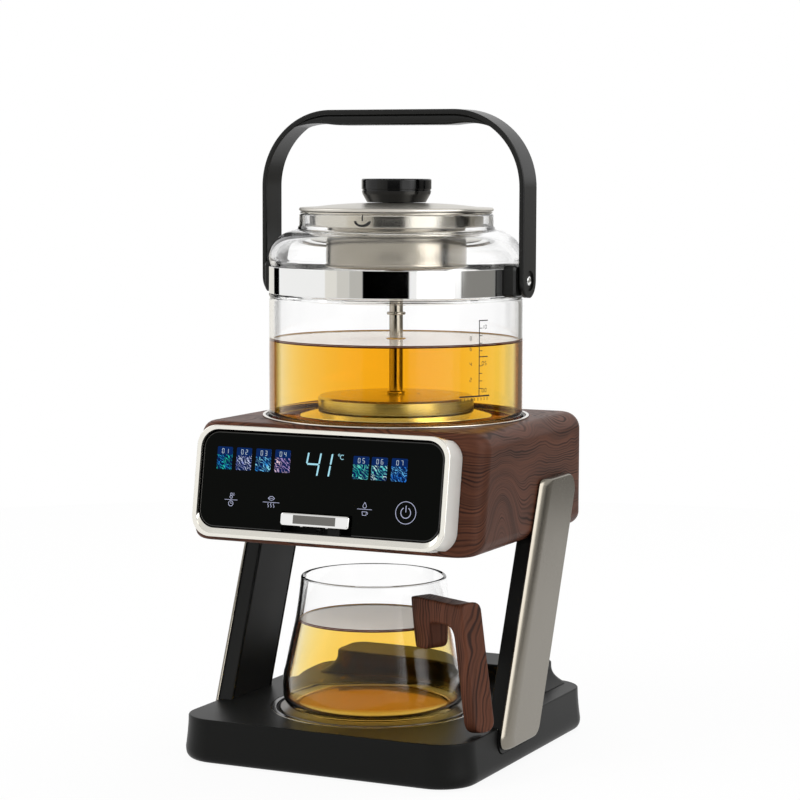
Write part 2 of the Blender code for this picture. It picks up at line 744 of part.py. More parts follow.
def head_hollow(low, high, inset):
    """The space inside the head as a cutter, inset from the outer form."""
    rings = []
    for z in (low, high):
        front, rear = head_front(z) + inset, HEAD_REAR_Y - inset
        outline = rounded_rectangle(HEAD_HALF_WIDTH - inset, (rear - front) / 2,
                                    (HEAD_FRONT_CORNER - inset, HEAD_REAR_CORNER - inset,
                                     HEAD_REAR_CORNER - inset, HEAD_FRONT_CORNER - inset))
        rings.append([(x, y + (front + rear) / 2, z) for x, y in outline])
    return rings


def make_head():
    shell = head_form("head_shell", finish="walnut")
    cut(shell, loft("head_hollow", head_hollow(HEAD_BOTTOM + HEAD_WALL * 2, HEAD_TOP - HEAD_WALL, HEAD_WALL),
                    group=CUTTERS))
    floor_half = HEAD_HALF_WIDTH - HEAD_FLOOR_RIM
    floor_front, floor_rear = head_front(HEAD_BOTTOM) + HEAD_FLOOR_RIM, HEAD_REAR_Y - HEAD_FLOOR_RIM
    floor_middle = (floor_front + floor_rear) / 2

    def floor(name, grow, low, high, finish=None, group=None):
        outline = rounded_rectangle(floor_half + grow, (floor_rear - floor_front) / 2 + grow, HEAD_TOP_EDGE)
        return prism(name, [(x, y + floor_middle) for x, y in outline], low, high, finish, group)

    cut(shell, floor("head_floor_opening", 0, HEAD_BOTTOM - CUT_OVERRUN,
                     HEAD_BOTTOM + HEAD_WALL * 2 + CUT_OVERRUN, group=CUTTERS))
    cut(shell, rod("seat_hole", SEAT_INNER + SEAT_SLEEVE + GAP, (0, POT_Y, HEAD_TOP - SEAT_DEPTH - GAP),
                   (0, POT_Y, HEAD_TOP + CUT_OVERRUN), sides=ROUND_LARGE, group=CUTTERS))
    window = prism("panel_window", rounded_rectangle(WINDOW_HALF_WIDTH, WINDOW_HALF_HEIGHT, WINDOW_MARGIN),
                   -BEZEL_DEPTH * 2, -BEZEL_DEPTH / 2, group=CUTTERS)
    on_panel(window)
    cut(shell, window)

    low = HEAD_BOTTOM + FINE_EDGE
    cover = floor("head_bottom_cover", -GAP, low, low + HEAD_COVER_THICK, "black_plastic")
    cut(cover, rod("nozzle_hole", NOZZLE_RADIUS + GAP, (0, DRAIN_Y, low - CUT_OVERRUN),
                   (0, DRAIN_Y, low + HEAD_COVER_THICK + CUT_OVERRUN), group=CUTTERS))
    top = low + HEAD_COVER_THICK + GAP
    block("control_board", (-CONTROL_BOARD_WIDTH / 2, CONTROL_BOARD_Y - CONTROL_BOARD_DEPTH / 2, top),
          (CONTROL_BOARD_WIDTH / 2, CONTROL_BOARD_Y + CONTROL_BOARD_DEPTH / 2, top + BOARD_THICK),
          "board_green")


# Front panel

WINDOW_HALF_WIDTH = BEZEL_HALF_WIDTH - WINDOW_MARGIN
WINDOW_HALF_HEIGHT = BEZEL_HALF_HEIGHT - WINDOW_MARGIN
GLASS_HALF_HEIGHT = BEZEL_HALF_HEIGHT - (GLASS_TOP_LIP + GLASS_BOTTOM_LIP) / 2
GLASS_RISE = (GLASS_BOTTOM_LIP - GLASS_TOP_LIP) / 2
GLASS_CORNER = BEZEL_CORNER - GLASS_TOP_LIP
LEVER_Y = -LEVER_DROP
POCKET_TOP = LEVER_Y + LEVER_HEIGHT / 2 + LEVER_POCKET_ABOVE
BEZEL_FLOOR = GLASS_RISE - GLASS_HALF_HEIGHT - GAP

PANEL = empty("panel_plane", (0, PANEL_Y, PANEL_Z))
PANEL.rotation_euler = (math.radians(90) - PANEL_LEAN, 0, 0)


def glass_outline(grow=0.0):
    outline = rounded_rectangle(GLASS_HALF_WIDTH + grow, GLASS_HALF_HEIGHT + grow, GLASS_CORNER + grow)
    return [(x, y + GLASS_RISE) for x, y in outline]


def make_panel():
    def outer(inset, height):
        outline = rounded_rectangle(BEZEL_HALF_WIDTH - inset, BEZEL_HALF_HEIGHT - inset,
                                    BEZEL_CORNER - inset)
        return [(x, y, height) for x, y in outline]

    def inner(grow, height):
        return [(x, y, height) for x, y in glass_outline(grow)]

    rings = [inner(GAP, -BEZEL_DEPTH), outer(0, -BEZEL_DEPTH), outer(0, -BEZEL_EDGE),
             outer(BEZEL_EDGE, 0), inner(GAP + BEZEL_EDGE / 2, 0), inner(GAP, -BEZEL_EDGE)]
    bezel = loft("front_bezel", rings, "champagne", closed=True)
    ear_inner = LEVER_HALF_WIDTH + GAP * 2
    for side, word in ((-1, "left"), (1, "right")):
        near, far = sorted((side * ear_inner, side * (ear_inner + LEVER_EAR_THICK)))
        ear = block(f"{word}_lever_ear", (near, BEZEL_FLOOR - BEZEL_EDGE, -BEZEL_DEPTH),
                    (far, LEVER_Y + LEVER_HUB_RADIUS * LEVER_EAR_SHARE, -GLASS_SET_BACK - GLASS_THICK - GAP),
                    group=CUTTERS)
        on_panel(ear)
        add(bezel, ear)
    bore = rod("lever_pin_bore", LEVER_PIN_RADIUS + GAP,
               (-ear_inner - LEVER_EAR_THICK - CUT_OVERRUN, LEVER_Y, -LEVER_PIN_DEPTH),
               (ear_inner + LEVER_EAR_THICK + CUT_OVERRUN, LEVER_Y, -LEVER_PIN_DEPTH), group=CUTTERS)
    cut(bezel, bore)

    front = -GLASS_SET_BACK
    rings = [[(x, y, front - GLASS_THICK) for x, y in glass_outline()],
             [(x, y, front - GLASS_EDGE) for x, y in glass_outline()],
             [(x, y, front - GLASS_EDGE / 4) for x, y in glass_outline(-GLASS_EDGE / 3)],
             [(x, y, front) for x, y in glass_outline(-GLASS_EDGE)]]
    glass = loft("display_glass", rings, "display_black")
    pocket_half = LEVER_HALF_WIDTH + LEVER_POCKET_SIDE
    pocket = block("lever_pocket", (-pocket_half, BEZEL_FLOOR - CUT_OVERRUN, -BEZEL_DEPTH),
                   (pocket_half, POCKET_TOP, CUT_OVERRUN), group=CUTTERS)
    cut(glass, pocket)

    board_top = -BEZEL_DEPTH - GAP * 2
    board = prism("display_board", rounded_rectangle(WINDOW_HALF_WIDTH - GAP, WINDOW_HALF_HEIGHT - GAP,
                                                     WINDOW_MARGIN), board_top - BOARD_THICK, board_top,
                  "board_green")
    on_panel(bezel, bore, glass, pocket, board)
    make_lever(ear_inner)


def make_lever(ear_inner):
    axis = empty("lever_axis", (0, LEVER_Y, -LEVER_PIN_DEPTH), PANEL)

    def beside(x, y, z):
        """A place on the panel, from the lever's axis."""
        return (x, y - LEVER_Y, z + LEVER_PIN_DEPTH)

    half = LEVER_HEIGHT / 2
    pad_outline = rounded_rectangle(LEVER_HALF_WIDTH, half, half / 2)
    pad_rear = LEVER_REACH - LEVER_PAD_DEPTH
    rings = [[beside(x, y + LEVER_Y, z) for x, y in pad_outline] for z in (pad_rear, LEVER_REACH)]
    lever = loft("lever_bar", rings, "champagne")
    arm = block("lever_arm", beside(-LEVER_ARM_HALF_WIDTH, LEVER_Y - LEVER_ARM_THICK / 2, -LEVER_PIN_DEPTH),
                beside(LEVER_ARM_HALF_WIDTH, LEVER_Y + LEVER_ARM_THICK / 2, pad_rear + GAP * 2),
                group=CUTTERS)
    hub = rod("lever_hub", LEVER_HUB_RADIUS, beside(-LEVER_HALF_WIDTH, LEVER_Y, -LEVER_PIN_DEPTH),
              beside(LEVER_HALF_WIDTH, LEVER_Y, -LEVER_PIN_DEPTH), group=CUTTERS)
    bore = rod("lever_bore", LEVER_PIN_RADIUS + GAP,
               beside(-LEVER_HALF_WIDTH - CUT_OVERRUN, LEVER_Y, -LEVER_PIN_DEPTH),
               beside(LEVER_HALF_WIDTH + CUT_OVERRUN, LEVER_Y, -LEVER_PIN_DEPTH), group=CUTTERS)
    add(lever, arm, hub)
    cut(lever, bore)
    reach = ear_inner + LEVER_EAR_THICK
    pin = rod("lever_pin", LEVER_PIN_RADIUS, (-reach, LEVER_Y, -LEVER_PIN_DEPTH),
              (reach, LEVER_Y, -LEVER_PIN_DEPTH), "steel")
    spring = lever_spring()
    arm_bottom = LEVER_Y - LEVER_ARM_THICK / 2
    switch = block("lever_switch", (LEVER_ARM_HALF_WIDTH - SWITCH_WIDTH, BEZEL_FLOOR + GAP,
                                    -LEVER_SPRING_DEPTH - SWITCH_DEPTH / 2),
                   (LEVER_ARM_HALF_WIDTH, arm_bottom - SWITCH_TRAVEL_ROOM,
                    -LEVER_SPRING_DEPTH + SWITCH_DEPTH / 2), "black_plastic")
    for piece in (lever, arm, hub, bore):
        piece.parent = axis
    on_panel(pin, spring, switch)


def lever_spring():
    """A small coil between the bezel's floor and the lever's arm, closed at both ends."""
    low = BEZEL_FLOOR + GAP + LEVER_SPRING_WIRE
    high = LEVER_Y - LEVER_ARM_THICK / 2 - GAP - LEVER_SPRING_WIRE
    count = LEVER_SPRING_TURNS * SPRING_POINTS_PER_TURN
    curve = bpy.data.curves.new("lever_spring", "CURVE")
    curve.dimensions = "3D"
    curve.bevel_depth = LEVER_SPRING_WIRE
    curve.bevel_resolution = 0
    curve.use_fill_caps = True
    spline = curve.splines.new("POLY")
    spline.points.add(count)
    for index in range(count + 1):
        angle = FULL_TURN * index / SPRING_POINTS_PER_TURN
        spline.points[index].co = (LEVER_SPRING_RADIUS * math.cos(angle),
                                   low + (high - low) * index / count,
                                   LEVER_SPRING_RADIUS * math.sin(angle) - LEVER_SPRING_DEPTH, 1)
    return put(bpy.data.objects.new("lever_spring", curve), "steel")


# Pot seat and works in the head


def make_seat():
    centre = (0, POT_Y, 0)
    flange_bottom = HEAD_TOP + GAP
    flange_top = flange_bottom + SEAT_FLANGE_THICK
    sleeve = SEAT_INNER + SEAT_SLEEVE
    bottom = HEAD_TOP - SEAT_DEPTH
    turned("pot_seat_ring", [(SEAT_INNER, flange_top), (SEAT_OUTER - FINE_EDGE / 2, flange_top),
                             (SEAT_OUTER, flange_bottom), (sleeve, flange_bottom), (sleeve, bottom),
                             (SEAT_INNER - SEAT_LEDGE, bottom),
                             (SEAT_INNER - SEAT_LEDGE, bottom + SEAT_LEDGE_THICK),
                             (SEAT_INNER, bottom + SEAT_LEDGE_THICK)],
           "chrome", centre)
    heater_top = POT_FLOOR_Z - GAP
    heater_bottom = heater_top - HEATER_THICK
    step = max(bottom + SEAT_LEDGE_THICK + GAP, heater_bottom)
    radius = SEAT_INNER - GAP * 2
    neck = SEAT_INNER - SEAT_LEDGE - GAP * 2
    heater = turned("heater_plate", [(0, heater_top), (radius, heater_top), (radius, step), (neck, step),
                                     (neck, heater_bottom), (0, heater_bottom)],
                    "heater_aluminium", centre)
    cut(heater, rod("probe_hole", PROBE_RADIUS + GAP, (0, POT_Y, heater_bottom - CUT_OVERRUN),
                    (0, POT_Y, heater_top + CUT_OVERRUN), group=CUTTERS))
    cut(heater, rod("drain_hole", DRAIN_VALVE_RADIUS + GAP, (0, DRAIN_Y, heater_bottom - CUT_OVERRUN),
                    (0, DRAIN_Y, heater_top + CUT_OVERRUN), group=CUTTERS))
    turned("temperature_probe", disc_profile(PROBE_RADIUS, heater_top, heater_top - PROBE_HEIGHT, FINE_EDGE),
           "steel", centre, ROUND_SMALL)

    drain = (0, DRAIN_Y, 0)
    cover_top = HEAD_BOTTOM + FINE_EDGE + HEAD_COVER_THICK
    valve_low = cover_top + NOZZLE_FLANGE / 2 + GAP * 2
    valve_high = valve_low + VALVE_HEIGHT
    valve = block("drain_valve_body", (-VALVE_HALF_WIDTH, DRAIN_Y - VALVE_HALF_DEPTH, valve_low),
                  (VALVE_HALF_WIDTH, DRAIN_Y + VALVE_HALF_DEPTH, valve_high), "black_plastic", FINE_EDGE)
    coil = rod("valve_coil", COIL_RADIUS,
               (VALVE_HALF_WIDTH - GAP * 2, DRAIN_Y, (valve_low + valve_high) / 2),
               (VALVE_HALF_WIDTH + COIL_LENGTH, DRAIN_Y, (valve_low + valve_high) / 2), group=CUTTERS)
    add(valve, coil)
    tip = (NOZZLE_TIP_RADIUS, NOZZLE_TIP_Z)
    turned("outlet_nozzle", [(NOZZLE_RADIUS + NOZZLE_FLANGE, valve_low - GAP),
                             (NOZZLE_RADIUS + NOZZLE_FLANGE, cover_top + GAP),
                             (NOZZLE_RADIUS, cover_top + GAP),
                             (NOZZLE_RADIUS, HEAD_BOTTOM), tip, (NOZZLE_BORE, NOZZLE_TIP_Z),
                             (NOZZLE_BORE, valve_low - GAP)], "black_plastic", drain, ROUND_MEDIUM)
    turned("drain_tube", tube_profile(DRAIN_TUBE_RADIUS - DRAIN_TUBE_WALL, DRAIN_TUBE_RADIUS,
                                      heater_bottom, valve_high + GAP), "rubber", drain, ROUND_SMALL)


# Pot


def make_pot():
    centre = (0, POT_Y, 0)
    inner = POT_RADIUS - POT_WALL
    neck_inner = POT_NECK_RADIUS - POT_WALL
    shoulder_span = (POT_SHOULDER_RADIUS - POT_NECK_RADIUS, POT_NECK_Z - POT_SHOULDER_Z)
    shoulder_centre = (POT_NECK_RADIUS, POT_SHOULDER_Z)
    lip = POT_WALL / 2
    outside = ([(neck_inner + lip / 2, POT_LIP_Z), (POT_NECK_RADIUS - lip / 2, POT_LIP_Z),
                (POT_NECK_RADIUS, POT_LIP_Z - lip / 2), (POT_NECK_RADIUS, POT_NECK_Z + POT_BEAD * 2),
                (POT_NECK_RADIUS + POT_BEAD, POT_NECK_Z)]
               + arc(shoulder_centre, shoulder_span, *SHOULDER_ANGLES, SHOULDER_STEPS)
               + [(POT_RADIUS, BAND_TOP_Z)]
               + arc((POT_RADIUS - POT_HEEL_RADIUS, POT_FLOOR_Z + POT_HEEL_RADIUS),
                     (POT_HEEL_RADIUS, POT_HEEL_RADIUS), 0, -90, HEEL_STEPS))
    inside_floor = POT_FLOOR_Z + POT_WALL
    inside = ([(0, POT_FLOOR_Z), (0, inside_floor)]
              + [(inner - POT_HEEL_RADIUS / 2, inside_floor), (inner, inside_floor + POT_HEEL_RADIUS / 2)]
              + [(inner, BAND_TOP_Z)]
              + arc((neck_inner, POT_SHOULDER_Z), (POT_SHOULDER_RADIUS - POT_WALL - neck_inner,
                                                   shoulder_span[1] - POT_WALL),
                    *reversed(SHOULDER_ANGLES), SHOULDER_STEPS)
              + [(neck_inner, POT_NECK_Z), (neck_inner, POT_LIP_Z - lip / 2)])
    profile = outside + inside
    start = profile.index((0, inside_floor))
    glass = turned("glass_body", profile[start:] + profile[:start], "clear_glass", centre)
    cut(glass, rod("pot_drain_hole", DRAIN_VALVE_STEM + GAP, (0, DRAIN_Y, POT_FLOOR_Z - CUT_OVERRUN),
                   (0, DRAIN_Y, inside_floor + CUT_OVERRUN), group=CUTTERS))
    turned("drain_valve_plug",
           [(0, inside_floor + GAP + DRAIN_VALVE_HEIGHT),
            (DRAIN_VALVE_RADIUS, inside_floor + GAP + DRAIN_VALVE_HEIGHT),
            (DRAIN_VALVE_RADIUS, inside_floor + GAP), (DRAIN_VALVE_STEM, inside_floor + GAP),
            (DRAIN_VALVE_STEM, POT_FLOOR_Z), (0, POT_FLOOR_Z)], "steel", (0, DRAIN_Y, 0), ROUND_SMALL)
    band_inner = POT_RADIUS + GAP
    turned("steel_band", tube_profile(band_inner, band_inner + BAND_THICK, BAND_TOP_Z - GAP,
                                             BAND_BOTTOM_Z), "chrome", centre)
    plate_low = inside_floor + GAP
    plate_high = DOME_FOOT_Z - GAP
    turned("pot_floor_plate", [(FLOOR_PLATE_INNER - FLOOR_PLATE_THICK, plate_high),
                                       (FLOOR_PLATE_INNER, plate_high),
                                       (FLOOR_PLATE_OUTER, plate_low + FINE_EDGE),
                                       (FLOOR_PLATE_OUTER, plate_low),
                                       (FLOOR_PLATE_OUTER - FLOOR_PLATE_THICK * 2, plate_low),
                                       (FLOOR_PLATE_INNER - FLOOR_PLATE_THICK,
                                        plate_high - FLOOR_PLATE_THICK)],
                   "steel", centre)
    lugs = [make_lug(side, word) for side, word in ((-1, "left"), (1, "right"))]
    pot = empty("pot_origin", (0, POT_Y, POT_FLOOR_Z))
    pieces = [bpy.data.objects[name] for name in ("glass_body", "drain_valve_plug", "steel_band",
                                                  "pot_floor_plate", "pot_drain_hole")]
    under(pot, *pieces, *[piece for pair in lugs for piece in pair])
    return pot


def make_lug(side, word):
    """The block on the band that carries the bail's pin."""
    outline = rounded_rectangle(LUG_HALF_LENGTH, LUG_HALF_HEIGHT, LUG_CORNER, 3)
    rings = [[(side * x, y + BAIL_Y, z + BAIL_PIVOT_Z) for y, z in outline]
             for x in (POT_RADIUS - POT_WALL * 2, LUG_OUTER_X)]
    lug = loft(f"{word}_lug", rings, "black_plastic")
    seat = POT_RADIUS + GAP * 2 + BAND_THICK
    spread = math.degrees(math.asin(SADDLE_HALF_LENGTH / seat))
    middle = 0 if side > 0 else 180
    outer = arc((0, POT_Y), (seat + SADDLE_THICK, seat + SADDLE_THICK), middle - spread, middle + spread,
                SHOULDER_STEPS)
    inner = arc((0, POT_Y), (seat - SADDLE_THICK, seat - SADDLE_THICK), middle + spread, middle - spread,
                SHOULDER_STEPS)
    saddle = prism(f"{word}_lug_saddle", outer + inner, BAIL_PIVOT_Z - LUG_HALF_HEIGHT,
                   BAIL_PIVOT_Z + LUG_HALF_HEIGHT, group=CUTTERS)
    around = rod(f"{word}_lug_seat", seat,
                 (0, POT_Y, BAND_BOTTOM_Z - LUG_HALF_HEIGHT), (0, POT_Y, BAND_TOP_Z + LUG_HALF_HEIGHT),
                 sides=ROUND_LARGE, group=CUTTERS)
    bulge = rod(f"{word}_lug_relief", POT_SHOULDER_RADIUS + GAP, (0, POT_Y, BAND_TOP_Z - GAP * 2),
                (0, POT_Y, BAND_TOP_Z + LUG_HALF_HEIGHT), sides=ROUND_LARGE, group=CUTTERS)
    pin_start = POT_RADIUS + BAND_THICK + FINE_EDGE * 3
    hole = rod(f"{word}_lug_hole", PIN_RADIUS + GAP, (side * pin_start, BAIL_Y, BAIL_PIVOT_Z),
               (side * (LUG_OUTER_X + CUT_OVERRUN), BAIL_Y, BAIL_PIVOT_Z), group=CUTTERS)
    add(lug, saddle)
    cut(lug, around, bulge, hole)
    arm_outer = BAIL_HALF_WIDTH - PIN_RECESS_DEPTH
    pin = rod(f"{word}_pivot_pin", PIN_RADIUS, (side * (pin_start + GAP), BAIL_Y, BAIL_PIVOT_Z),
              (side * (arm_outer + GAP * 2), BAIL_Y, BAIL_PIVOT_Z), "steel")
    head = rod(f"{word}_pin_head", PIN_HEAD_RADIUS, (side * (arm_outer + GAP), BAIL_Y, BAIL_PIVOT_Z),
               (side * (BAIL_HALF_WIDTH - GAP), BAIL_Y, BAIL_PIVOT_Z), group=CUTTERS)
    add(pin, head)
    return lug, saddle, around, bulge, hole, pin, head


def bail_path(half_width, top, corner):
    """Half of the bail's outline from the right pivot up to the middle of the top, as X and Z."""
    points = [(half_width, BAIL_PIVOT_Z)]
    points += arc((half_width - corner, top - corner), (corner, corner), 0, 90, BAIL_ARC_STEPS)
    return points


def make_bail(pot):
    axis = empty("bail_axis", (0, BAIL_Y, BAIL_PIVOT_Z))
    outer = bail_path(BAIL_HALF_WIDTH, BAIL_TOP_Z, BAIL_CORNER)
    inner = bail_path(BAIL_HALF_WIDTH - BAIL_THICK, BAIL_TOP_Z - BAIL_THICK, BAIL_CORNER - BAIL_THICK)
    half = BAIL_STRAP / 2
    sections = []
    for step in range(BAIL_END_STEPS):
        angle = BAIL_END_ANGLE * (1 - step / BAIL_END_STEPS)
        sections.append(((BAIL_HALF_WIDTH, BAIL_PIVOT_Z - half * math.sin(angle)),
                         (BAIL_HALF_WIDTH - BAIL_THICK, BAIL_PIVOT_Z - half * math.sin(angle)),
                         half * math.cos(angle)))
    sections += [(out, back, half) for out, back in zip(outer, inner)]
    right = [[(out[0], BAIL_Y - wide, out[1]), (out[0], BAIL_Y + wide, out[1]),
              (back[0], BAIL_Y + wide, back[1]), (back[0], BAIL_Y - wide, back[1])]
             for out, back, wide in sections]
    left = [mirrored(ring) for ring in reversed(right)]
    bail = loft("bail_strap", right + left, "black_plastic")
    for side, word in ((-1, "left"), (1, "right")):
        recess = BAIL_HALF_WIDTH - PIN_RECESS_DEPTH
        cut(bail, rod(f"{word}_bail_recess", PIN_RECESS_RADIUS, (side * recess, BAIL_Y, BAIL_PIVOT_Z),
                      (side * (BAIL_HALF_WIDTH + CUT_OVERRUN), BAIL_Y, BAIL_PIVOT_Z), group=CUTTERS))
        cut(bail, rod(f"{word}_bail_hole", PIN_RADIUS + GAP,
                      (side * (LUG_OUTER_X - CUT_OVERRUN), BAIL_Y, BAIL_PIVOT_Z),
                      (side * (recess + CUT_OVERRUN), BAIL_Y, BAIL_PIVOT_Z), group=CUTTERS))
    grip_top = BAIL_TOP_Z - BAIL_THICK - GAP
    grip = block("bail_grip", (-GRIP_HALF_LENGTH, BAIL_Y - half + GRIP_SIDE, grip_top - GRIP_THICK),
                 (GRIP_HALF_LENGTH, BAIL_Y + half - GRIP_SIDE, grip_top), "black_plastic", GRIP_CORNER)
    tools = [bpy.data.objects[f"{word}_bail_{kind}"] for word in ("left", "right")
             for kind in ("recess", "hole")]
    under(axis, bail, grip, *tools)
    under(pot, axis)


# Brewer


def make_brewer():
    centre = (0, POT_Y, 0)
    top = DOME_EDGE_Z + DOME_CROWN
    hole = RISER_RADIUS + GAP
    middle = DOME_EDGE_Z + DOME_CROWN * DOME_MIDDLE_SHARE
    dome = turned("pump_dome", [(hole, top), (DOME_RADIUS / 2, middle),
                                (DOME_RADIUS - DOME_EDGE, DOME_EDGE_Z),
                                (DOME_RADIUS, DOME_EDGE_Z - DOME_EDGE),
                                (DOME_RADIUS, DOME_FOOT_Z), (DOME_RADIUS - DOME_WALL, DOME_FOOT_Z),
                                (DOME_RADIUS - DOME_WALL, DOME_EDGE_Z - DOME_WALL - DOME_EDGE),
                                (DOME_RADIUS / 2, middle - DOME_WALL),
                                (hole, top - DOME_WALL)], "steel", centre)
    for index in range(SLOT_COUNT):
        angle = SLOT_TURN + FULL_TURN * index / SLOT_COUNT
        slot = block(f"dome_slot_{index}", (-SLOT_LENGTH / 2, -SLOT_WIDTH / 2, -DOME_CROWN),
                     (SLOT_LENGTH / 2, SLOT_WIDTH / 2, DOME_CROWN), group=CUTTERS)
        reach = DOME_RADIUS * SLOT_RADIUS_SHARE
        slot.location = (reach * math.cos(angle), POT_Y + reach * math.sin(angle), top)
        slot.rotation_euler = (0, 0, angle + math.radians(90))
        cut(dome, slot)
    foot = top + GAP
    turned("riser_tube", [(RISER_RADIUS, RISER_TOP_Z), (RISER_RADIUS, foot + RISER_COLLAR_HEIGHT),
                          (RISER_COLLAR_RADIUS, foot + RISER_COLLAR_HEIGHT / 2), (RISER_COLLAR_RADIUS, foot),
                          (RISER_RADIUS, foot), (RISER_RADIUS, top - DOME_WALL * 2),
                          (RISER_RADIUS - RISER_WALL, top - DOME_WALL * 2),
                          (RISER_RADIUS - RISER_WALL, RISER_TOP_Z)], "steel", centre, ROUND_SMALL)
    turned("riser_lock_ring", tube_profile(RISER_RADIUS + GAP, LOCK_RING_RADIUS,
                                           LOCK_RING_Z + LOCK_RING_HEIGHT, LOCK_RING_Z),
           "steel", centre, ROUND_SMALL)
    cap_low = RISER_TOP_Z - SPRAY_CAP_HEIGHT
    basket_floor = BASKET_BOTTOM_Z + BASKET_WALL
    turned("spray_cap", [(0, RISER_TOP_Z + GAP + BASKET_WALL), (SPRAY_CAP_RADIUS, RISER_TOP_Z + GAP),
                         (SPRAY_CAP_RADIUS, cap_low), (SPRAY_CAP_RADIUS - BASKET_WALL, cap_low),
                         (SPRAY_CAP_RADIUS - BASKET_WALL, RISER_TOP_Z - BASKET_WALL),
                         (RISER_RADIUS + GAP, RISER_TOP_Z - BASKET_WALL),
                         (RISER_RADIUS + GAP, RISER_TOP_Z + GAP),
                         (0, RISER_TOP_Z + GAP)], "steel", centre, ROUND_SMALL)
    roll = BASKET_RADIUS + BASKET_ROLL
    turned("strainer_basket", [(BASKET_RADIUS, BASKET_TOP_Z),
                               (BASKET_RADIUS, BASKET_BOTTOM_Z + BASKET_ROLL_HEIGHT),
                               (roll, BASKET_BOTTOM_Z + BASKET_ROLL_HEIGHT - BASKET_ROLL),
                               (roll, BASKET_BOTTOM_Z + BASKET_ROLL), (BASKET_RADIUS, BASKET_BOTTOM_Z),
                               (RISER_RADIUS + GAP, BASKET_BOTTOM_Z), (RISER_RADIUS + GAP, basket_floor),
                               (BASKET_RADIUS - BASKET_WALL, basket_floor),
                               (BASKET_RADIUS - BASKET_WALL, BASKET_TOP_Z)], "steel", centre)
    ledge = STRAINER_LEDGE_Z
    seat = POT_LIP_Z + GAP
    turned("strainer_collar", [(STRAINER_SEAT_RADIUS, seat + STRAINER_SEAT_THICK),
                               (STRAINER_SEAT_RADIUS, seat),
                               (STRAINER_RADIUS, seat), (STRAINER_RADIUS, ledge),
                               (BASKET_RADIUS - BASKET_WALL, ledge),
                               (BASKET_RADIUS - BASKET_WALL, ledge + STRAINER_WALL),
                               (STRAINER_RADIUS - STRAINER_WALL, ledge + STRAINER_WALL),
                               (STRAINER_RADIUS - STRAINER_WALL, seat + STRAINER_SEAT_THICK)],
           "steel", centre)
    brewer = empty("brewer_origin", (0, POT_Y, DOME_FOOT_Z))
    slots = [bpy.data.objects[f"dome_slot_{index}"] for index in range(SLOT_COUNT)]
    under(brewer, *slots, *[bpy.data.objects[name] for name in (
        "pump_dome", "riser_tube", "riser_lock_ring", "spray_cap", "strainer_basket", "strainer_collar")])
    return brewer


# Lid


def make_lid():
    centre = (0, POT_Y, 0)
    low = POT_LIP_Z + GAP * 2 + STRAINER_SEAT_THICK
    crown = LID_EDGE_Z + LID_CROWN
    middle = LID_EDGE_Z + LID_CROWN * LID_MIDDLE_SHARE
    hole = KNOB_STUD_RADIUS + GAP
    turned("lid_plate", [(hole, crown), (LID_RADIUS / 2, middle),
                         (LID_RADIUS - LID_THICK * 2, LID_EDGE_Z + FINE_EDGE / 2),
                         (LID_RADIUS, LID_EDGE_Z - FINE_EDGE), (LID_RADIUS, low), (STRAINER_RADIUS, low),
                         (LID_RADIUS / 2, middle - LID_THICK), (hole, crown - LID_THICK)], "steel", centre)
    outer = STRAINER_RADIUS - STRAINER_WALL - GAP
    turned("lid_gasket", tube_profile(outer - LID_GASKET_WIDTH, outer, low, low - LID_GASKET_DEPTH),
           "rubber", centre)
    knob_low = crown + GAP
    stud_low = crown - LID_THICK * 2
    edge_low = KNOB_TOP_Z - KNOB_EDGE_DROP
    turned("lid_knob", [(0, KNOB_TOP_Z), (KNOB_RADIUS - KNOB_EDGE, KNOB_TOP_Z),
                        (KNOB_RADIUS, KNOB_TOP_Z - KNOB_EDGE), (KNOB_RADIUS, edge_low),
                        (KNOB_WAIST_RADIUS, knob_low), (KNOB_STUD_RADIUS, knob_low),
                        (KNOB_STUD_RADIUS, stud_low), (0, stud_low)], "black_plastic", centre, ROUND_MEDIUM)
    lid = empty("lid_origin", (0, POT_Y, low))
    under(lid, *[bpy.data.objects[name] for name in ("lid_plate", "lid_gasket", "lid_knob")])
    return lid


# Cup


def cup_floor():
    return BASE_TOP + GAP


def make_cup():
    floor = cup_floor()
    span = CUP_RIM_Z - CUP_BELLY_Z
    swell = CUP_BELLY_RADIUS - CUP_RIM_RADIUS

    def side(inset):
        return [(CUP_RIM_RADIUS + swell * out - inset, CUP_BELLY_Z + span * up)
                for up, out in CUP_SHOULDER_SHARES]

    belly_low = floor + CUP_HEEL_RADIUS
    half_lip = CUP_WALL / 2
    heel_width = CUP_HEEL_RADIUS * CUP_HEEL_WIDTH_SHARE
    heel_centre = (CUP_BELLY_RADIUS - heel_width, belly_low)
    outer = ([(CUP_RIM_RADIUS - half_lip, CUP_RIM_Z), (CUP_RIM_RADIUS, CUP_RIM_Z - half_lip)] + side(0)
             + [(CUP_BELLY_RADIUS, CUP_BELLY_Z)]
             + arc(heel_centre, (heel_width, CUP_HEEL_RADIUS), 0, -90, CUP_HEEL_STEPS)
             + [(0, floor + CUP_FLOOR_CROWN)])
    inner_floor = floor + CUP_FLOOR_THICK
    inner_heel = (heel_centre[0], belly_low + GAP)
    inner = ([(0, inner_floor)]
             + arc(inner_heel, (heel_width - CUP_WALL, belly_low + GAP - inner_floor), -90, 0,
                   CUP_HEEL_STEPS)
             + [(CUP_BELLY_RADIUS - CUP_WALL, CUP_BELLY_Z)] + list(reversed(side(CUP_WALL)))
             + [(CUP_RIM_RADIUS - CUP_WALL, CUP_RIM_Z - half_lip)])
    axis = (0, CUP_Y, 0)
    glass = turned("cup_glass", inner + outer, "clear_glass", axis)
    handle = cup_handle()
    cup = empty("cup_origin", (0, CUP_Y, floor))
    under(cup, glass, *handle)


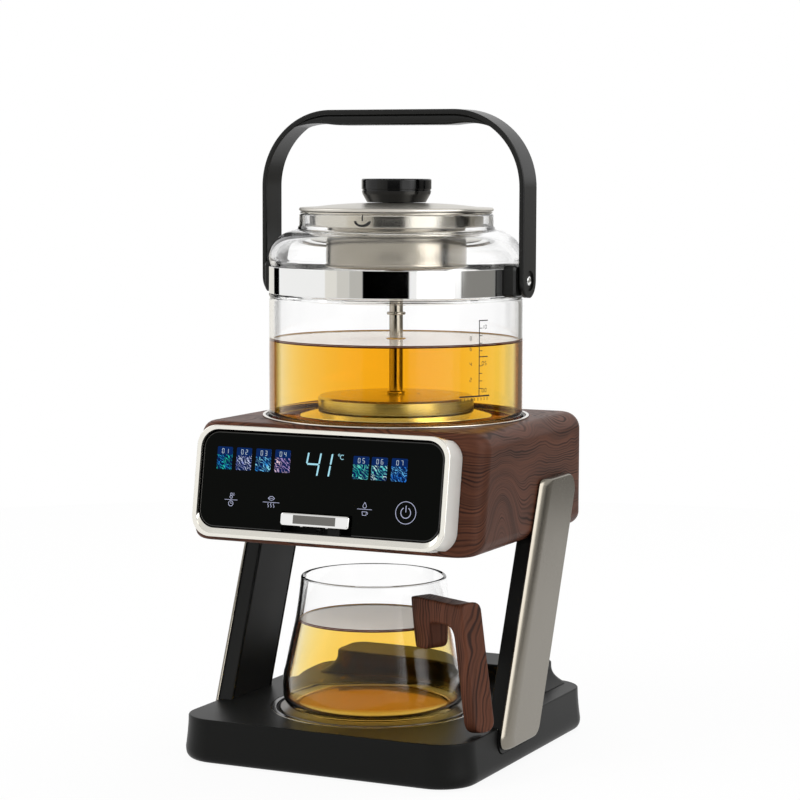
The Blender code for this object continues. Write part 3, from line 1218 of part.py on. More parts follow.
def cup_radius(z):
    """Outer radius of the cup at a height, on the straight runs between its side points."""
    span = CUP_RIM_Z - CUP_BELLY_Z
    swell = CUP_BELLY_RADIUS - CUP_RIM_RADIUS
    points = [(CUP_RIM_Z, CUP_RIM_RADIUS)]
    points += [(CUP_BELLY_Z + span * up, CUP_RIM_RADIUS + swell * out) for up, out in CUP_SHOULDER_SHARES]
    points.append((CUP_BELLY_Z, CUP_BELLY_RADIUS))
    for (high, near), (low, far) in zip(points, points[1:]):
        if low <= z <= high:
            return near + (far - near) * (high - z) / (high - low)
    return CUP_BELLY_RADIUS


def cup_handle():
    """The walnut handle: an arm with a peg against the glass, and a tilted bar outside it."""
    half = HANDLE_HALF_WIDTH
    arm_low = HANDLE_ARM_TOP_Z - HANDLE_ARM_THICK
    peg_low = arm_low - HANDLE_PEG_DROP
    clear = GAP * 2

    def bar_inner(z):
        outer = HANDLE_REACH + (HANDLE_TOP_Z - z) * math.tan(HANDLE_TILT)
        return outer - HANDLE_BAR_THICK / math.cos(HANDLE_TILT)

    def against(z):
        return cup_radius(z) + clear

    deep = HANDLE_BAR_THICK / 2
    outline = [(against(HANDLE_ARM_TOP_Z), HANDLE_ARM_TOP_Z), (against(arm_low), arm_low),
               (against(peg_low), peg_low),
               (against(peg_low) + HANDLE_PEG_DEPTH * (1 - HANDLE_ROUND_SHARE), peg_low),
               (against(peg_low) + HANDLE_PEG_DEPTH, peg_low + HANDLE_PEG_DEPTH * HANDLE_ROUND_SHARE),
               (against(peg_low) + HANDLE_PEG_DEPTH, arm_low),
               (bar_inner(arm_low) - HANDLE_FILLET, arm_low),
               (bar_inner(arm_low) - HANDLE_FILLET * HANDLE_ROUND_SHARE,
                arm_low - HANDLE_FILLET * HANDLE_ROUND_SHARE),
               (bar_inner(arm_low - HANDLE_FILLET), arm_low - HANDLE_FILLET),
               (bar_inner(arm_low - HANDLE_FILLET) + deep, arm_low - HANDLE_FILLET),
               (bar_inner(HANDLE_ARM_TOP_Z) + deep, HANDLE_ARM_TOP_Z)]
    rings = [[(reach, y, z) for reach, z in outline] for y in (-half, half)]
    arm = loft("cup_handle", rings, "walnut")
    length = (HANDLE_TOP_Z - HANDLE_TIP_Z) / math.cos(HANDLE_TILT)
    face = rounded_rectangle(half + GAP / 2, length / 2, HANDLE_BAR_CORNER)
    edge = HANDLE_EDGE
    soft = rounded_rectangle(half + GAP / 2 - edge, length / 2 - edge, HANDLE_BAR_CORNER - edge)
    turn = Matrix.Rotation(-HANDLE_TILT, 4, "Y")
    foot_reach = HANDLE_REACH + (HANDLE_TOP_Z - HANDLE_TIP_Z) * math.tan(HANDLE_TILT) / 2
    place = Matrix.Translation((foot_reach, 0, (HANDLE_TOP_Z + HANDLE_TIP_Z) / 2)) @ turn
    thick = HANDLE_BAR_THICK
    levels = [(-thick, soft), (-thick + edge, face), (-edge, face), (0, soft)]
    bar_rings = [[place @ Vector((depth, across, along)) for across, along in outline_at]
                 for depth, outline_at in levels]
    bar = loft("handle_bar", bar_rings, group=CUTTERS)
    add(arm, bar)
    glass_form = turned("handle_fit", [(0, CUP_RIM_Z + CUT_OVERRUN)]
                        + [(CUP_RIM_RADIUS + clear, CUP_RIM_Z + CUT_OVERRUN)]
                        + [(cup_radius(z) + clear, z) for z in cup_heights()]
                        + [(0, cup_heights()[-1])], centre=(0, 0, 0), group=CUTTERS)
    cut(arm, glass_form)
    spin = Matrix.Translation((0, CUP_Y, 0)) @ Matrix.Rotation(HANDLE_TURN, 4, "Z")
    for piece in (arm, bar, glass_form):
        piece.matrix_world = spin
    return arm, bar, glass_form


def cup_heights():
    span = CUP_RIM_Z - CUP_BELLY_Z
    return [CUP_RIM_Z] + [CUP_BELLY_Z + span * up for up, out in CUP_SHOULDER_SHARES] + [CUP_BELLY_Z]


# Power parts


def make_power():
    rear = BASE_HALF_DEPTH
    low = (-INLET_HALF_WIDTH, rear - INLET_LENGTH, INLET_Z - INLET_HALF_HEIGHT)
    high = (INLET_HALF_WIDTH, rear + INLET_PROUD, INLET_Z + INLET_HALF_HEIGHT)
    inlet = block("power_inlet", low, high, "black_plastic")
    cut(inlet, block("inlet_socket", (low[0] + INLET_WALL, low[1] + INLET_WALL, low[2] + INLET_WALL),
                     (high[0] - INLET_WALL, high[1] + CUT_OVERRUN, high[2] - INLET_WALL), group=CUTTERS))
    back = low[1] + INLET_WALL
    for index in (-1, 0, 1):
        x = index * INLET_BLADE_PITCH
        z = INLET_Z + (INLET_BLADE if index == 0 else -INLET_BLADE) / 2
        add(inlet, block(f"inlet_blade_{index + 1}", (x - INLET_BLADE / 3, back - GAP, z - INLET_BLADE),
                         (x + INLET_BLADE / 3, back + INLET_BLADE_LENGTH, z + INLET_BLADE), group=CUTTERS))
    cover_top = BASE_UNDERSIDE + GAP + BOTTOM_COVER_THICK
    half = BASE_HALF_WIDTH - SCREW_INSET - BOSS_RADIUS - POWER_BOARD_CLEAR
    board_rear = rear - INLET_LENGTH - GAP * 2
    block("power_board", (-half, board_rear - POWER_BOARD_DEPTH, cover_top + GAP),
          (half, board_rear, cover_top + GAP + BOARD_THICK), "board_green")


make_base()
make_cup_rest()
make_hump()
make_legs()
make_head()
make_panel()
make_seat()
pot_origin = make_pot()
make_bail(pot_origin)
brewer_origin = make_brewer()
lid_origin = make_lid()
under(brewer_origin, lid_origin)
under(pot_origin, brewer_origin)
make_cup()
make_power()
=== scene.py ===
"""Looks of an automatic tea maker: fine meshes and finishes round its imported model, tea, stage and camera."""
import math

import bmesh
import bpy
from bpy.props import FloatProperty, FloatVectorProperty, PointerProperty
from mathutils import Matrix, Vector


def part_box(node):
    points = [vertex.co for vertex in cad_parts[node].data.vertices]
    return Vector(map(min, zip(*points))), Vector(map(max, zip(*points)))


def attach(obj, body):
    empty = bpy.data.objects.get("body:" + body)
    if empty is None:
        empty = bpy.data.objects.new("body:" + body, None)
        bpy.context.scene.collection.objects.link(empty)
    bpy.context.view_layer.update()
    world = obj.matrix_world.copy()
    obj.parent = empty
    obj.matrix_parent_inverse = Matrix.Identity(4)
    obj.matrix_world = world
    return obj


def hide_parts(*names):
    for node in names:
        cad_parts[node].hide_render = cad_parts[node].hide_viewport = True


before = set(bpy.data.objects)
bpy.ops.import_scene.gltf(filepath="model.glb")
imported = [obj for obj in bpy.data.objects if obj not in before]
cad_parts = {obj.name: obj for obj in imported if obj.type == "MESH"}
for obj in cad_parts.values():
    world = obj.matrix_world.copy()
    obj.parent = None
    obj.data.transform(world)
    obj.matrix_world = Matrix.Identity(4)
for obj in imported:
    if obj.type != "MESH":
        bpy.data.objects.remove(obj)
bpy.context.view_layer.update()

bl_info = {
    "name": "Tea maker looks",
    "version": (1, 0, 0),
    "blender": (4, 5, 0),
    "location": "3D View > Sidebar > Tea maker",
    "description": "Builds the visible pieces, finishes and stage of an automatic tea maker",
    "category": "Object",
}

WHITE = (1.0, 1.0, 1.0)
BLACK = (0.0, 0.0, 0.0)
# Fits and small shared sizes
GAP = 0.0003
MERGE = 0.000005
OVERRUN = 0.002
FULL_TURN = math.tau
TURN_STEPS = 144
SMALL_TURN_STEPS = 64
CORNER_STEPS = 10
EDGE_STEPS = 6
SMOOTH_ANGLE = math.radians(32)
RIGHT_ANGLE = math.radians(90)


def corners(node):
    """A CAD node's lowest and highest corners."""
    low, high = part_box(node)
    return Vector(low), Vector(high)


def centre_of(node):
    low, high = corners(node)
    return (low + high) / 2


def radius_of(node):
    low, high = corners(node)
    return (high.x - low.x) / 2


# Places and sizes read from the frame
BASE_LOW, BASE_HIGH = corners("base_shell")
HEAD_LOW, HEAD_HIGH = corners("head_shell")
POT_Y = centre_of("glass_body").y
CUP_Y = centre_of("cup_glass").y
DRAIN_Y = centre_of("outlet_nozzle").y
POT_AXIS = (0, POT_Y, 0)
CUP_AXIS = (0, CUP_Y, 0)
POT_FLOOR_Z = corners("glass_body")[0].z
POT_LIP_Z = corners("glass_body")[1].z
CUP_FOOT_Z = corners("cup_glass")[0].z
CUP_RIM_Z = corners("cup_glass")[1].z

# Sizes that the boxes don't give
BASE_FLARE = 0.0017
BASE_TUCK = 0.0050
BASE_UNDER_Z = 0.0006
BASE_WALL = 0.0026
BASE_CORNER = 0.0222
BASE_SKIRT_Z = 0.0072
BASE_EDGE = 0.0009
PANEL_Y = -0.093085
PANEL_Z = 0.165005
PANEL_LEAN = math.radians(9.33)
BEZEL_HALF_WIDTH = corners("front_bezel")[1].x
BEZEL_LOW_EDGE = 0.03106
BEZEL_TOP_EDGE = 0.0334
BEZEL_CORNER = 0.012
BEZEL_DEPTH = 0.0173
LEG_LEAN = 0.40
LEG_FRONT_Y = -0.0444
LEG_DEPTH = 0.0521
LEG_FRONT_CORNER = 0.0065
LEG_REAR_CORNER = 0.010
POT_RADIUS = 0.0760
POT_BAND_SEAT = 0.0750
POT_WALL = 0.0025
POT_NECK_RADIUS = 0.058
CUP_WALL = 0.002
HANDLE_TURN = math.radians(-26.5)
HANDLE_TILT = math.radians(10.8)


def colour_of(name, description, default):
    return FloatVectorProperty(name=name, description=description, default=default, subtype="COLOR")


def length_of(name, description, default):
    return FloatProperty(
        name=name, description=description, default=default, subtype="DISTANCE", unit="LENGTH")


class TeaMakerColours(bpy.types.PropertyGroup):
    """Colours of the finishes, scene linear."""
    walnut_dark: colour_of("Walnut dark", "Dark lines of the walnut figure", (0.013, 0.0052, 0.0034))
    walnut_light: colour_of("Walnut light", "Light bands of the walnut figure", (0.128, 0.0445, 0.0235))
    champagne: colour_of("Champagne", "Satin metal of the bezel", (0.87, 0.845, 0.775))
    steel: colour_of("Steel", "Satin stainless steel", (0.70, 0.67, 0.61))
    black: colour_of("Black plastic", "Moulded black plastic", (0.0065, 0.0067, 0.0063))
    tea: colour_of("Tea", "Colour that light keeps as it passes through tea", (0.985, 0.83, 0.17))
    # The pale tone of the tea's top is a painted reflection of the bright surround, over the real gloss of the
    # surface
    tea_surface: colour_of("Tea surface", "Tone of the tea's still surface", (0.93, 0.86, 0.76))
    digits: colour_of("Digits", "Light of the temperature digits", (0.42, 0.80, 0.93))
    marks: colour_of("Key marks", "Light of the touch key marks", (0.55, 0.58, 0.78))
    paint: colour_of("Scale paint", "Print of the pot's scale", (0.030, 0.026, 0.030))


class TeaMakerSizes(bpy.types.PropertyGroup):
    """Sizes that a user would change."""
    tea_level: length_of("Tea level", "Height of the tea in the pot", 0.2442)
    cup_level: length_of("Cup level", "Height of the tea in the cup", 0.0795)
    bezel_top_lip: length_of("Bezel top lip", "Face of the bezel over the display", 0.0029)
    bezel_side_lip: length_of("Bezel side lip", "Face of the bezel beside the display", 0.0033)
    bezel_ledge: length_of("Bezel ledge", "Sloping ledge under the display", 0.0050)
    figure_pitch: length_of("Grain pitch", "Distance between the walnut's fine lines", 0.0019)


class TeaMakerStage(bpy.types.PropertyGroup):
    """Light and camera."""
    surround: FloatProperty(
        name="Surround", description="Strength of the even light from all round", default=0.62, min=0.0)
    key_watts: FloatProperty(
        name="Key light", description="Power of the large soft light at the front left", default=15.0,
        unit="POWER")
    top_watts: FloatProperty(
        name="Top light", description="Power of the soft light above and behind", default=9.0, unit="POWER")
    lens: FloatProperty(name="Lens", description="Focal length in millimetres", default=110.88)


PROPERTY_GROUPS = (TeaMakerColours, TeaMakerSizes, TeaMakerStage)


def colours():
    return bpy.context.scene.tea_maker_colours


def sizes():
    return bpy.context.scene.tea_maker_sizes


# Outlines


def arc(centre, radii, start, end, steps=CORNER_STEPS):
    """Points on an elliptical arc; the angles are in degrees."""
    points = []
    for index in range(steps + 1):
        angle = math.radians(start + (end - start) * index / steps)
        points.append((centre[0] + radii[0] * math.cos(angle), centre[1] + radii[1] * math.sin(angle)))
    return points


def rounded_rectangle(half_width, half_height, radii, steps=CORNER_STEPS):
    """Counter-clockwise from the lower right; radii is one radius or four."""
    radii = radii if isinstance(radii, tuple) else (radii,) * 4
    signs = ((1, -1, -90), (1, 1, 0), (-1, 1, 90), (-1, -1, 180))
    points = []
    for (sign_x, sign_y, start), radius in zip(signs, radii):
        centre = (sign_x * (half_width - radius), sign_y * (half_height - radius))
        points += arc(centre, (radius, radius), start, start + 90, steps)
    return points


def filleted(points, steps=EDGE_STEPS, closed=True):
    """Round the corners of an outline; a corner's radius is its point's third value."""
    result = []
    count = len(points)
    for index, point in enumerate(points):
        here = Vector(point[:2])
        radius = point[2] if len(point) > 2 else 0
        if not radius or (not closed and index in (0, count - 1)):
            result.append(tuple(here))
            continue
        before = Vector(points[index - 1][:2]) - here
        after = Vector(points[(index + 1) % count][:2]) - here
        half_angle = before.angle(after) / 2
        reach = min(radius / math.tan(half_angle), before.length / 2, after.length / 2)
        radius = reach * math.tan(half_angle)
        outward = (before.normalized() + after.normalized()).normalized()
        middle = here + outward * radius / math.sin(half_angle)
        begin = here + before.normalized() * reach - middle
        end = here + after.normalized() * reach - middle
        sweep = begin.angle_signed(end)
        for step in range(steps + 1):
            result.append(tuple(middle + Matrix.Rotation(-sweep * step / steps, 2) @ begin))
    return result


def curve_through(points, steps=8):
    """A smooth curve through points, with its ends kept."""
    ends = [points[0], *points, points[-1]]
    result = []
    for index in range(1, len(ends) - 2):
        a, b, c, d = (Vector(ends[index + shift]) for shift in (-1, 0, 1, 2))
        for step in range(steps):
            t = step / steps
            result.append(tuple(b + (c - a) * (t / 2) + (a * 2 - b * 5 + c * 4 - d) * (t * t / 2)
                                + (b * 3 - a - c * 3 + d) * (t * t * t / 2)))
    result.append(tuple(points[-1]))
    return result


def laid(outline, height, shift=0.0):
    """An outline as a level ring, moved along Y."""
    return [(x, y + shift, height) for x, y in outline]


# Meshes


def piece_from(name, bm, finish=None, angle=SMOOTH_ANGLE):
    bmesh.ops.remove_doubles(bm, verts=bm.verts, dist=MERGE)
    bmesh.ops.recalc_face_normals(bm, faces=bm.faces)
    mesh = bpy.data.meshes.new(name)
    bm.to_mesh(mesh)
    bm.free()
    mesh.shade_smooth()
    mesh.set_sharp_from_angle(angle=angle)
    obj = bpy.data.objects.new(name, mesh)
    bpy.context.scene.collection.objects.link(obj)
    if finish:
        mesh.materials.append(finish)
    return obj


def turned(name, profile, centre, finish=None, steps=TURN_STEPS, angle=SMOOTH_ANGLE):
    """Turn a profile of radius and height about Z; it is closed unless it starts on the axis."""
    bm = bmesh.new()
    verts = [bm.verts.new((radius, 0, height)) for radius, height in profile]
    edges = [bm.edges.new(pair) for pair in zip(verts, verts[1:])]
    if profile[0][0] > MERGE:
        edges.append(bm.edges.new((verts[-1], verts[0])))
    bmesh.ops.spin(bm, geom=verts + edges, cent=(0, 0, 0), axis=(0, 0, 1), angle=FULL_TURN, steps=steps,
                   use_merge=True)
    bmesh.ops.translate(bm, vec=centre, verts=bm.verts)
    return piece_from(name, bm, finish, angle)


def loft(name, rings, finish=None, capped=True, angle=SMOOTH_ANGLE):
    """Skin rings of equal point counts; without caps the last ring joins the first."""
    bm = bmesh.new()
    rows = [[bm.verts.new(point) for point in ring] for ring in rings]
    pairs = list(zip(rows, rows[1:]))
    if not capped:
        pairs.append((rows[-1], rows[0]))
    count = len(rows[0])
    for lower, upper in pairs:
        for index in range(count):
            after = (index + 1) % count
            bm.faces.new((lower[index], lower[after], upper[after], upper[index]))
    if capped:
        bm.faces.new(list(reversed(rows[0])))
        bm.faces.new(rows[-1])
    return piece_from(name, bm, finish, angle)


def prism(name, outline, low, high, finish=None):
    return loft(name, [laid(outline, height) for height in (low, high)], finish)


def block(name, low, high, finish=None, edge=0.0):
    low, high = Vector(low), Vector(high)
    bm = bmesh.new()
    size = Matrix.Diagonal((*(high - low), 1.0))
    bmesh.ops.create_cube(bm, size=1.0, matrix=Matrix.Translation((low + high) / 2) @ size)
    obj = piece_from(name, bm, finish)
    return softened(obj, edge) if edge else obj


def rod(name, radius, start, end, finish=None, edge=0.0, steps=SMALL_TURN_STEPS):
    start, end = Vector(start), Vector(end)
    turn = (end - start).to_track_quat("Z", "Y").to_matrix().to_4x4()
    half = (end - start).length / 2
    bm = bmesh.new()
    bmesh.ops.create_cone(bm, cap_ends=True, segments=steps, radius1=radius, radius2=radius, depth=half * 2,
                          matrix=Matrix.Translation((start + end) / 2) @ turn)
    obj = piece_from(name, bm, finish)
    return softened(obj, edge) if edge else obj


def softened(obj, width, segments=3, angle=40):
    """Round an object's sharp edges for good."""
    bevel = obj.modifiers.new("edges", "BEVEL")
    bevel.width = width
    bevel.segments = segments
    bevel.limit_method = "ANGLE"
    bevel.angle_limit = math.radians(angle)
    bevel.use_clamp_overlap = True
    return applied(obj)


def applied(obj):
    """Turn an object's modifiers into its mesh."""
    graph = bpy.context.evaluated_depsgraph_get()
    mesh = bpy.data.meshes.new_from_object(obj.evaluated_get(graph))
    obj.modifiers.clear()
    obj.data = mesh
    mesh.shade_smooth()
    mesh.set_sharp_from_angle(angle=SMOOTH_ANGLE)
    return obj


def combined(obj, tools, operation="DIFFERENCE"):
    """Cut tools from an object, or join them to it, and remove them."""
    for tool in tools:
        step = obj.modifiers.new(tool.name, "BOOLEAN")
        step.operation = operation
        step.object = tool
    applied(obj)
    for tool in tools:
        bpy.data.objects.remove(tool)
    return obj


def joined(name, pieces):
    """One object from several separate solids."""
    bm = bmesh.new()
    finishes = []
    for piece in pieces:
        piece.data.transform(piece.matrix_world)
        for finish in piece.data.materials:
            if finish not in finishes:
                finishes.append(finish)
        start = len(bm.faces)
        bm.from_mesh(piece.data)
        bm.faces.ensure_lookup_table()
        own = list(piece.data.materials)
        for face in bm.faces[start:]:
            face.material_index = finishes.index(own[face.material_index]) if own else 0
    mesh = bpy.data.meshes.new(name)
    bm.to_mesh(mesh)
    bm.free()
    for finish in finishes:
        mesh.materials.append(finish)
    for piece in pieces:
        bpy.data.objects.remove(piece)
    obj = bpy.data.objects.new(name, mesh)
    bpy.context.scene.collection.objects.link(obj)
    return obj


def set_in(obj, body, slot, *nodes):
    """Ride a finished piece on its body and hide the CAD nodes that it stands for; the slot is not used."""
    even = obj.modifiers.new("even_shading", "WEIGHTED_NORMAL")
    even.mode = "FACE_AREA"
    even.keep_sharp = True
    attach(obj, body)
    if nodes:
        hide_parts(*nodes)
    return obj


def add_finish(obj, name, holds):
    """Give an object's faces that pass a test a second finish."""
    obj.data.materials.append(finish(name))
    for face in obj.data.polygons:
        face.material_index = int(holds(face))


def reach_from(axis, place):
    return math.hypot(place.x - axis[0], place.y - axis[1])


# Panel places


def panel_matrix():
    return Matrix.Translation((0, PANEL_Y, PANEL_Z)) @ Matrix.Rotation(RIGHT_ANGLE - PANEL_LEAN, 4, "X")


def to_panel(obj):
    """Lay a piece that was drawn flat onto the leaning panel."""
    obj.data.transform(panel_matrix())
    return obj


def below_top(distance):
    """Panel height at a distance down the display."""
    return BEZEL_LOW_EDGE - distance


# Node helpers


def node(tree, kind, inputs=None, **settings):
    """Add a node; inputs maps its sockets to values or to other nodes' outputs."""
    made = tree.nodes.new(kind)
    for key, value in settings.items():
        setattr(made, key, value)
    for key, value in (inputs or {}).items():
        if isinstance(value, bpy.types.NodeSocket):
            tree.links.new(value, made.inputs[key])
        else:
            made.inputs[key].default_value = value
    return made


def maths(tree, operation, *values):
    return node(tree, "ShaderNodeMath", dict(enumerate(values)), operation=operation).outputs[0]


def plus(tree, *values):
    return maths(tree, "ADD", *values)


def minus(tree, *values):
    return maths(tree, "SUBTRACT", *values)


def times(tree, *values):
    return maths(tree, "MULTIPLY", *values)


def vector_maths(tree, operation, *values, output=0):
    made = node(tree, "ShaderNodeVectorMath", dict(enumerate(values)), operation=operation)
    return made.outputs[output]


def split(tree, vector):
    return node(tree, "ShaderNodeSeparateXYZ", {"Vector": vector}).outputs


def noise(tree, vector, scale, detail=3.0, roughness=0.5):
    inputs = {"Vector": vector, "Scale": scale, "Detail": detail, "Roughness": roughness}
    return node(tree, "ShaderNodeTexNoise", inputs).outputs["Fac"]


def remap(tree, value, low, high, to_low=0.0, to_high=1.0, smooth=False):
    inputs = {"Value": value, "From Min": low, "From Max": high, "To Min": to_low, "To Max": to_high}
    kind = "SMOOTHSTEP" if smooth else "LINEAR"
    return node(tree, "ShaderNodeMapRange", inputs, interpolation_type=kind).outputs["Result"]


def mixed(tree, factor, first, second):
    """Mix two colours."""
    made = tree.nodes.new("ShaderNodeMix")
    made.data_type = "RGBA"
    for index, value in ((0, factor), (6, first), (7, second)):
        if isinstance(value, bpy.types.NodeSocket):
            tree.links.new(value, made.inputs[index])
        else:
            made.inputs[index].default_value = value if index == 0 else (*value[:3], 1.0)
    return made.outputs[2]


def group(name, inputs, outputs, build):
    """A shader node group, built once. build gets its tree and inputs, and returns the outputs in order."""
    tree = bpy.data.node_groups.get(name)
    if tree:
        return tree
    tree = bpy.data.node_groups.new(name, "ShaderNodeTree")
    for label, default in inputs.items():
        kind = "NodeSocketFloat" if isinstance(default, float) else "NodeSocketVector"
        socket = tree.interface.new_socket(label, in_out="INPUT", socket_type=kind)
        if default is not None:
            socket.default_value = default
    for label in outputs:
        tree.interface.new_socket(label, in_out="OUTPUT", socket_type="NodeSocketFloat")
    entry = tree.nodes.new("NodeGroupInput")
    leave = tree.nodes.new("NodeGroupOutput")
    for index, value in enumerate(build(tree, entry.outputs)):
        tree.links.new(value, leave.inputs[index])
    return tree


def placed(tree, made_group, inputs):
    """Put a node group into a material."""
    return node(tree, "ShaderNodeGroup", inputs, node_tree=made_group).outputs


def surface_place(tree):
    """Coordinates that stay with the piece."""
    return tree.nodes.new("ShaderNodeTexCoord").outputs["Object"]


def bump(tree, height, strength, distance):
    inputs = {"Height": height, "Strength": strength, "Distance": distance}
    return node(tree, "ShaderNodeBump", inputs).outputs["Normal"]


def material(name, builder, *values, **more):
    """A new material; the builder gives the values of its Principled shader's sockets."""
    made = bpy.data.materials.new(name)
    made.use_nodes = True
    tree = made.node_tree
    shader = tree.nodes["Principled BSDF"]
    for key, value in builder(tree, *values, **more).items():
        if isinstance(value, bpy.types.NodeSocket):
            tree.links.new(value, shader.inputs[key])
        elif hasattr(value, "__len__"):
            shader.inputs[key].default_value = (*value[:3], 1.0)
        else:
            shader.inputs[key].default_value = value
    return made


# Effects that several finishes share


def moulded_grain():
    """Fine texture of moulded plastic: a height and a slow drift of gloss."""
    def build(tree, given):
        fine = noise(tree, given["Vector"], given["Scale"], 2.0)
        slow = noise(tree, given["Vector"], 14.0, 2.0)
        gloss = plus(tree, given["Roughness"], remap(tree, slow, 0.3, 0.7, -0.04, 0.04))
        return fine, gloss

    inputs = {"Vector": None, "Scale": 2400.0, "Roughness": 0.45}
    return group("moulded_grain", inputs, ("Height", "Roughness"), build)


def brushed_lines():
    """Fine lines along one direction: the vector is scaled so that lines run along its small axis."""
    def build(tree, given):
        stretched = vector_maths(tree, "MULTIPLY", given["Vector"], given["Stretch"])
        lines = noise(tree, stretched, 1.0, 4.0, 0.6)
        drift = noise(tree, given["Vector"], 22.0, 2.0)
        rough = plus(tree, given["Roughness"], remap(tree, lines, 0.25, 0.75, -0.05, 0.05))
        rough = plus(tree, rough, remap(tree, drift, 0.3, 0.7, -0.02, 0.02))
        return lines, rough

    inputs = {"Vector": None, "Stretch": (60, 60, 3000), "Roughness": 0.3}
    return group("brushed_lines", inputs, ("Lines", "Roughness"), build)


def turned_lines():
    """Rings left by turning, about an upright axis at the given centre."""
    def build(tree, given):
        parts = split(tree, vector_maths(tree, "SUBTRACT", given["Vector"], given["Centre"]))
        flat = node(tree, "ShaderNodeCombineXYZ", {"X": parts["X"], "Y": parts["Y"]}).outputs[0]
        radius = vector_maths(tree, "LENGTH", flat, output="Value")
        ring = node(tree, "ShaderNodeCombineXYZ", {"X": radius, "Y": parts["Z"]}).outputs[0]
        lines = noise(tree, ring, given["Scale"], 3.0, 0.6)
        rough = plus(tree, given["Roughness"], remap(tree, lines, 0.25, 0.75, -0.05, 0.05))
        return lines, rough, radius

    inputs = {"Vector": None, "Centre": (0, 0, 0), "Scale": 2600.0, "Roughness": 0.25}
    return group("turned_lines", inputs, ("Lines", "Roughness", "Radius"), build)


def walnut_figure():
    """Walnut: wide bands and uneven dark lines that arch over a knot, and short pores along the grain."""
    def build(tree, given):
        vector = given["Vector"]
        parts = split(tree, vector)
        reach = maths(tree, "DIVIDE", minus(tree, parts["Y"], given["Arch place"]), given["Arch width"])
        arch = maths(tree, "EXPONENT", times(tree, times(tree, reach, reach), -1.0))
        fade = remap(tree, parts["Z"], given["Arch top"], given["Arch foot"], 0.0, 1.0, True)
        lift = times(tree, times(tree, arch, fade), given["Arch height"])
        slow = times(tree, remap(tree, noise(tree, vector, 19.0, 1.5), 0.0, 1.0, -1.0, 1.0),
                     given["Drift"])
        quick = remap(tree, noise(tree, vector, 42.0, 1.5), 0.0, 1.0, -0.0045, 0.0045)
        field = minus(tree, parts["Z"], lift)
        field = plus(tree, field, times(tree, parts["X"], 0.18))
        field = plus(tree, plus(tree, field, slow), quick)

        def along(across, length):
            return node(tree, "ShaderNodeCombineXYZ", {
                "X": times(tree, field, across), "Y": times(tree, parts["Y"], length),
                "Z": times(tree, parts["X"], length)}).outputs[0]

        sway = noise(tree, along(85.0, 11.0), 1.0, 1.0)
        phase = plus(tree, maths(tree, "DIVIDE", field, given["Pitch"]), times(tree, sway, 2.6))
        wave = maths(tree, "SINE", times(tree, phase, FULL_TURN))
        fading = remap(tree, noise(tree, along(300.0, 15.0), 1.0, 2.0), 0.36, 0.64, 0.05, 1.0, True)
        line = times(tree, remap(tree, wave, -0.5, 0.95, 0.0, 1.0, True), fading)
        wide = noise(tree, along(120.0, 9.0), 1.0, 2.0)
        pores = noise(tree, along(1500.0, 38.0), 1.0, 3.0, 0.6)
        band = plus(tree, remap(tree, wide, 0.3, 0.7, 0.1, 0.9),
                    remap(tree, pores, 0.3, 0.7, -0.38, 0.38))
        height = minus(tree, pores, times(tree, line, 0.5))
        return band, line, height

    inputs = {"Vector": None, "Pitch": 0.0021, "Arch place": 0.0, "Arch width": 0.02, "Arch height": 0.0,
              "Arch foot": 0.0, "Arch top": 1.0, "Drift": 0.017}
    return group("walnut_figure", inputs, ("Band", "Line", "Height"), build)


# Finishes


def finish(name):
    """A finish by name, built when it is first asked for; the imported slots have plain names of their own."""
    full_name = f"{name}_finish"
    builder, *values = FINISHES[name]
    more = values.pop() if values and isinstance(values[-1], dict) else {}
    values = [getattr(colours(), value) if isinstance(value, str) else value for value in values]
    return bpy.data.materials.get(full_name) or material(full_name, builder, *values, **more)


def shaded(tone, share):
    return tuple(part * share for part in tone)


def moulded(tree, colour, roughness, specular=0.35, depth=0.00003, scale=2400.0):
    out = placed(tree, moulded_grain(), {
        "Vector": surface_place(tree), "Scale": scale, "Roughness": roughness})
    return {"Base Color": colour, "Roughness": out["Roughness"], "Specular IOR Level": specular,
            "Normal": bump(tree, out["Height"], 0.25, depth)}


def brushed(tree, colour, roughness, stretch, depth=0.00001, **more):
    out = placed(tree, brushed_lines(), {
        "Vector": surface_place(tree), "Stretch": stretch, "Roughness": roughness})
    tone = mixed(tree, out["Lines"], shaded(colour, 0.96), colour)
    return {"Base Color": tone, "Metallic": 1.0, "Roughness": out["Roughness"],
            "Normal": bump(tree, out["Lines"], 0.1, depth), **more}


def lathe_turned(tree, colour, roughness, centre, depth=0.00001):
    out = placed(tree, turned_lines(), {
        "Vector": surface_place(tree), "Centre": centre, "Roughness": roughness})
    tone = mixed(tree, out["Lines"], shaded(colour, 0.94), colour)
    return {"Base Color": tone, "Metallic": 1.0, "Roughness": out["Roughness"],
            "Normal": bump(tree, out["Lines"], 0.12, depth)}


def walnut(tree, place, arch, drift, light_scale=1.0, roughness=0.40):
    """Walnut under satin lacquer; arch is the knot's place, width, height, foot and top."""
    where = surface_place(tree)
    if place:
        where = node(tree, "ShaderNodeMapping", {"Vector": where, "Location": place[0], "Rotation": place[1]},
                     vector_type="TEXTURE").outputs[0]
    keys = ("Arch place", "Arch width", "Arch height", "Arch foot", "Arch top")
    out = placed(tree, walnut_figure(), {
        "Vector": where, "Pitch": sizes().figure_pitch, "Drift": drift, **dict(zip(keys, arch))})
    dark, light = colours().walnut_dark, colours().walnut_light
    light = shaded(light, light_scale)
    middle = tuple((a * 0.55 + b * 0.45) for a, b in zip(dark, light))
    tone = mixed(tree, out["Band"], middle, light)
    tone = mixed(tree, times(tree, out["Line"], 0.9), tone, dark)
    return {"Base Color": tone, "Roughness": remap(tree, out["Line"], 0.0, 1.0, roughness, roughness + 0.10),
            "Specular IOR Level": 0.12, "Normal": bump(tree, out["Height"], 0.12, 0.00006)}


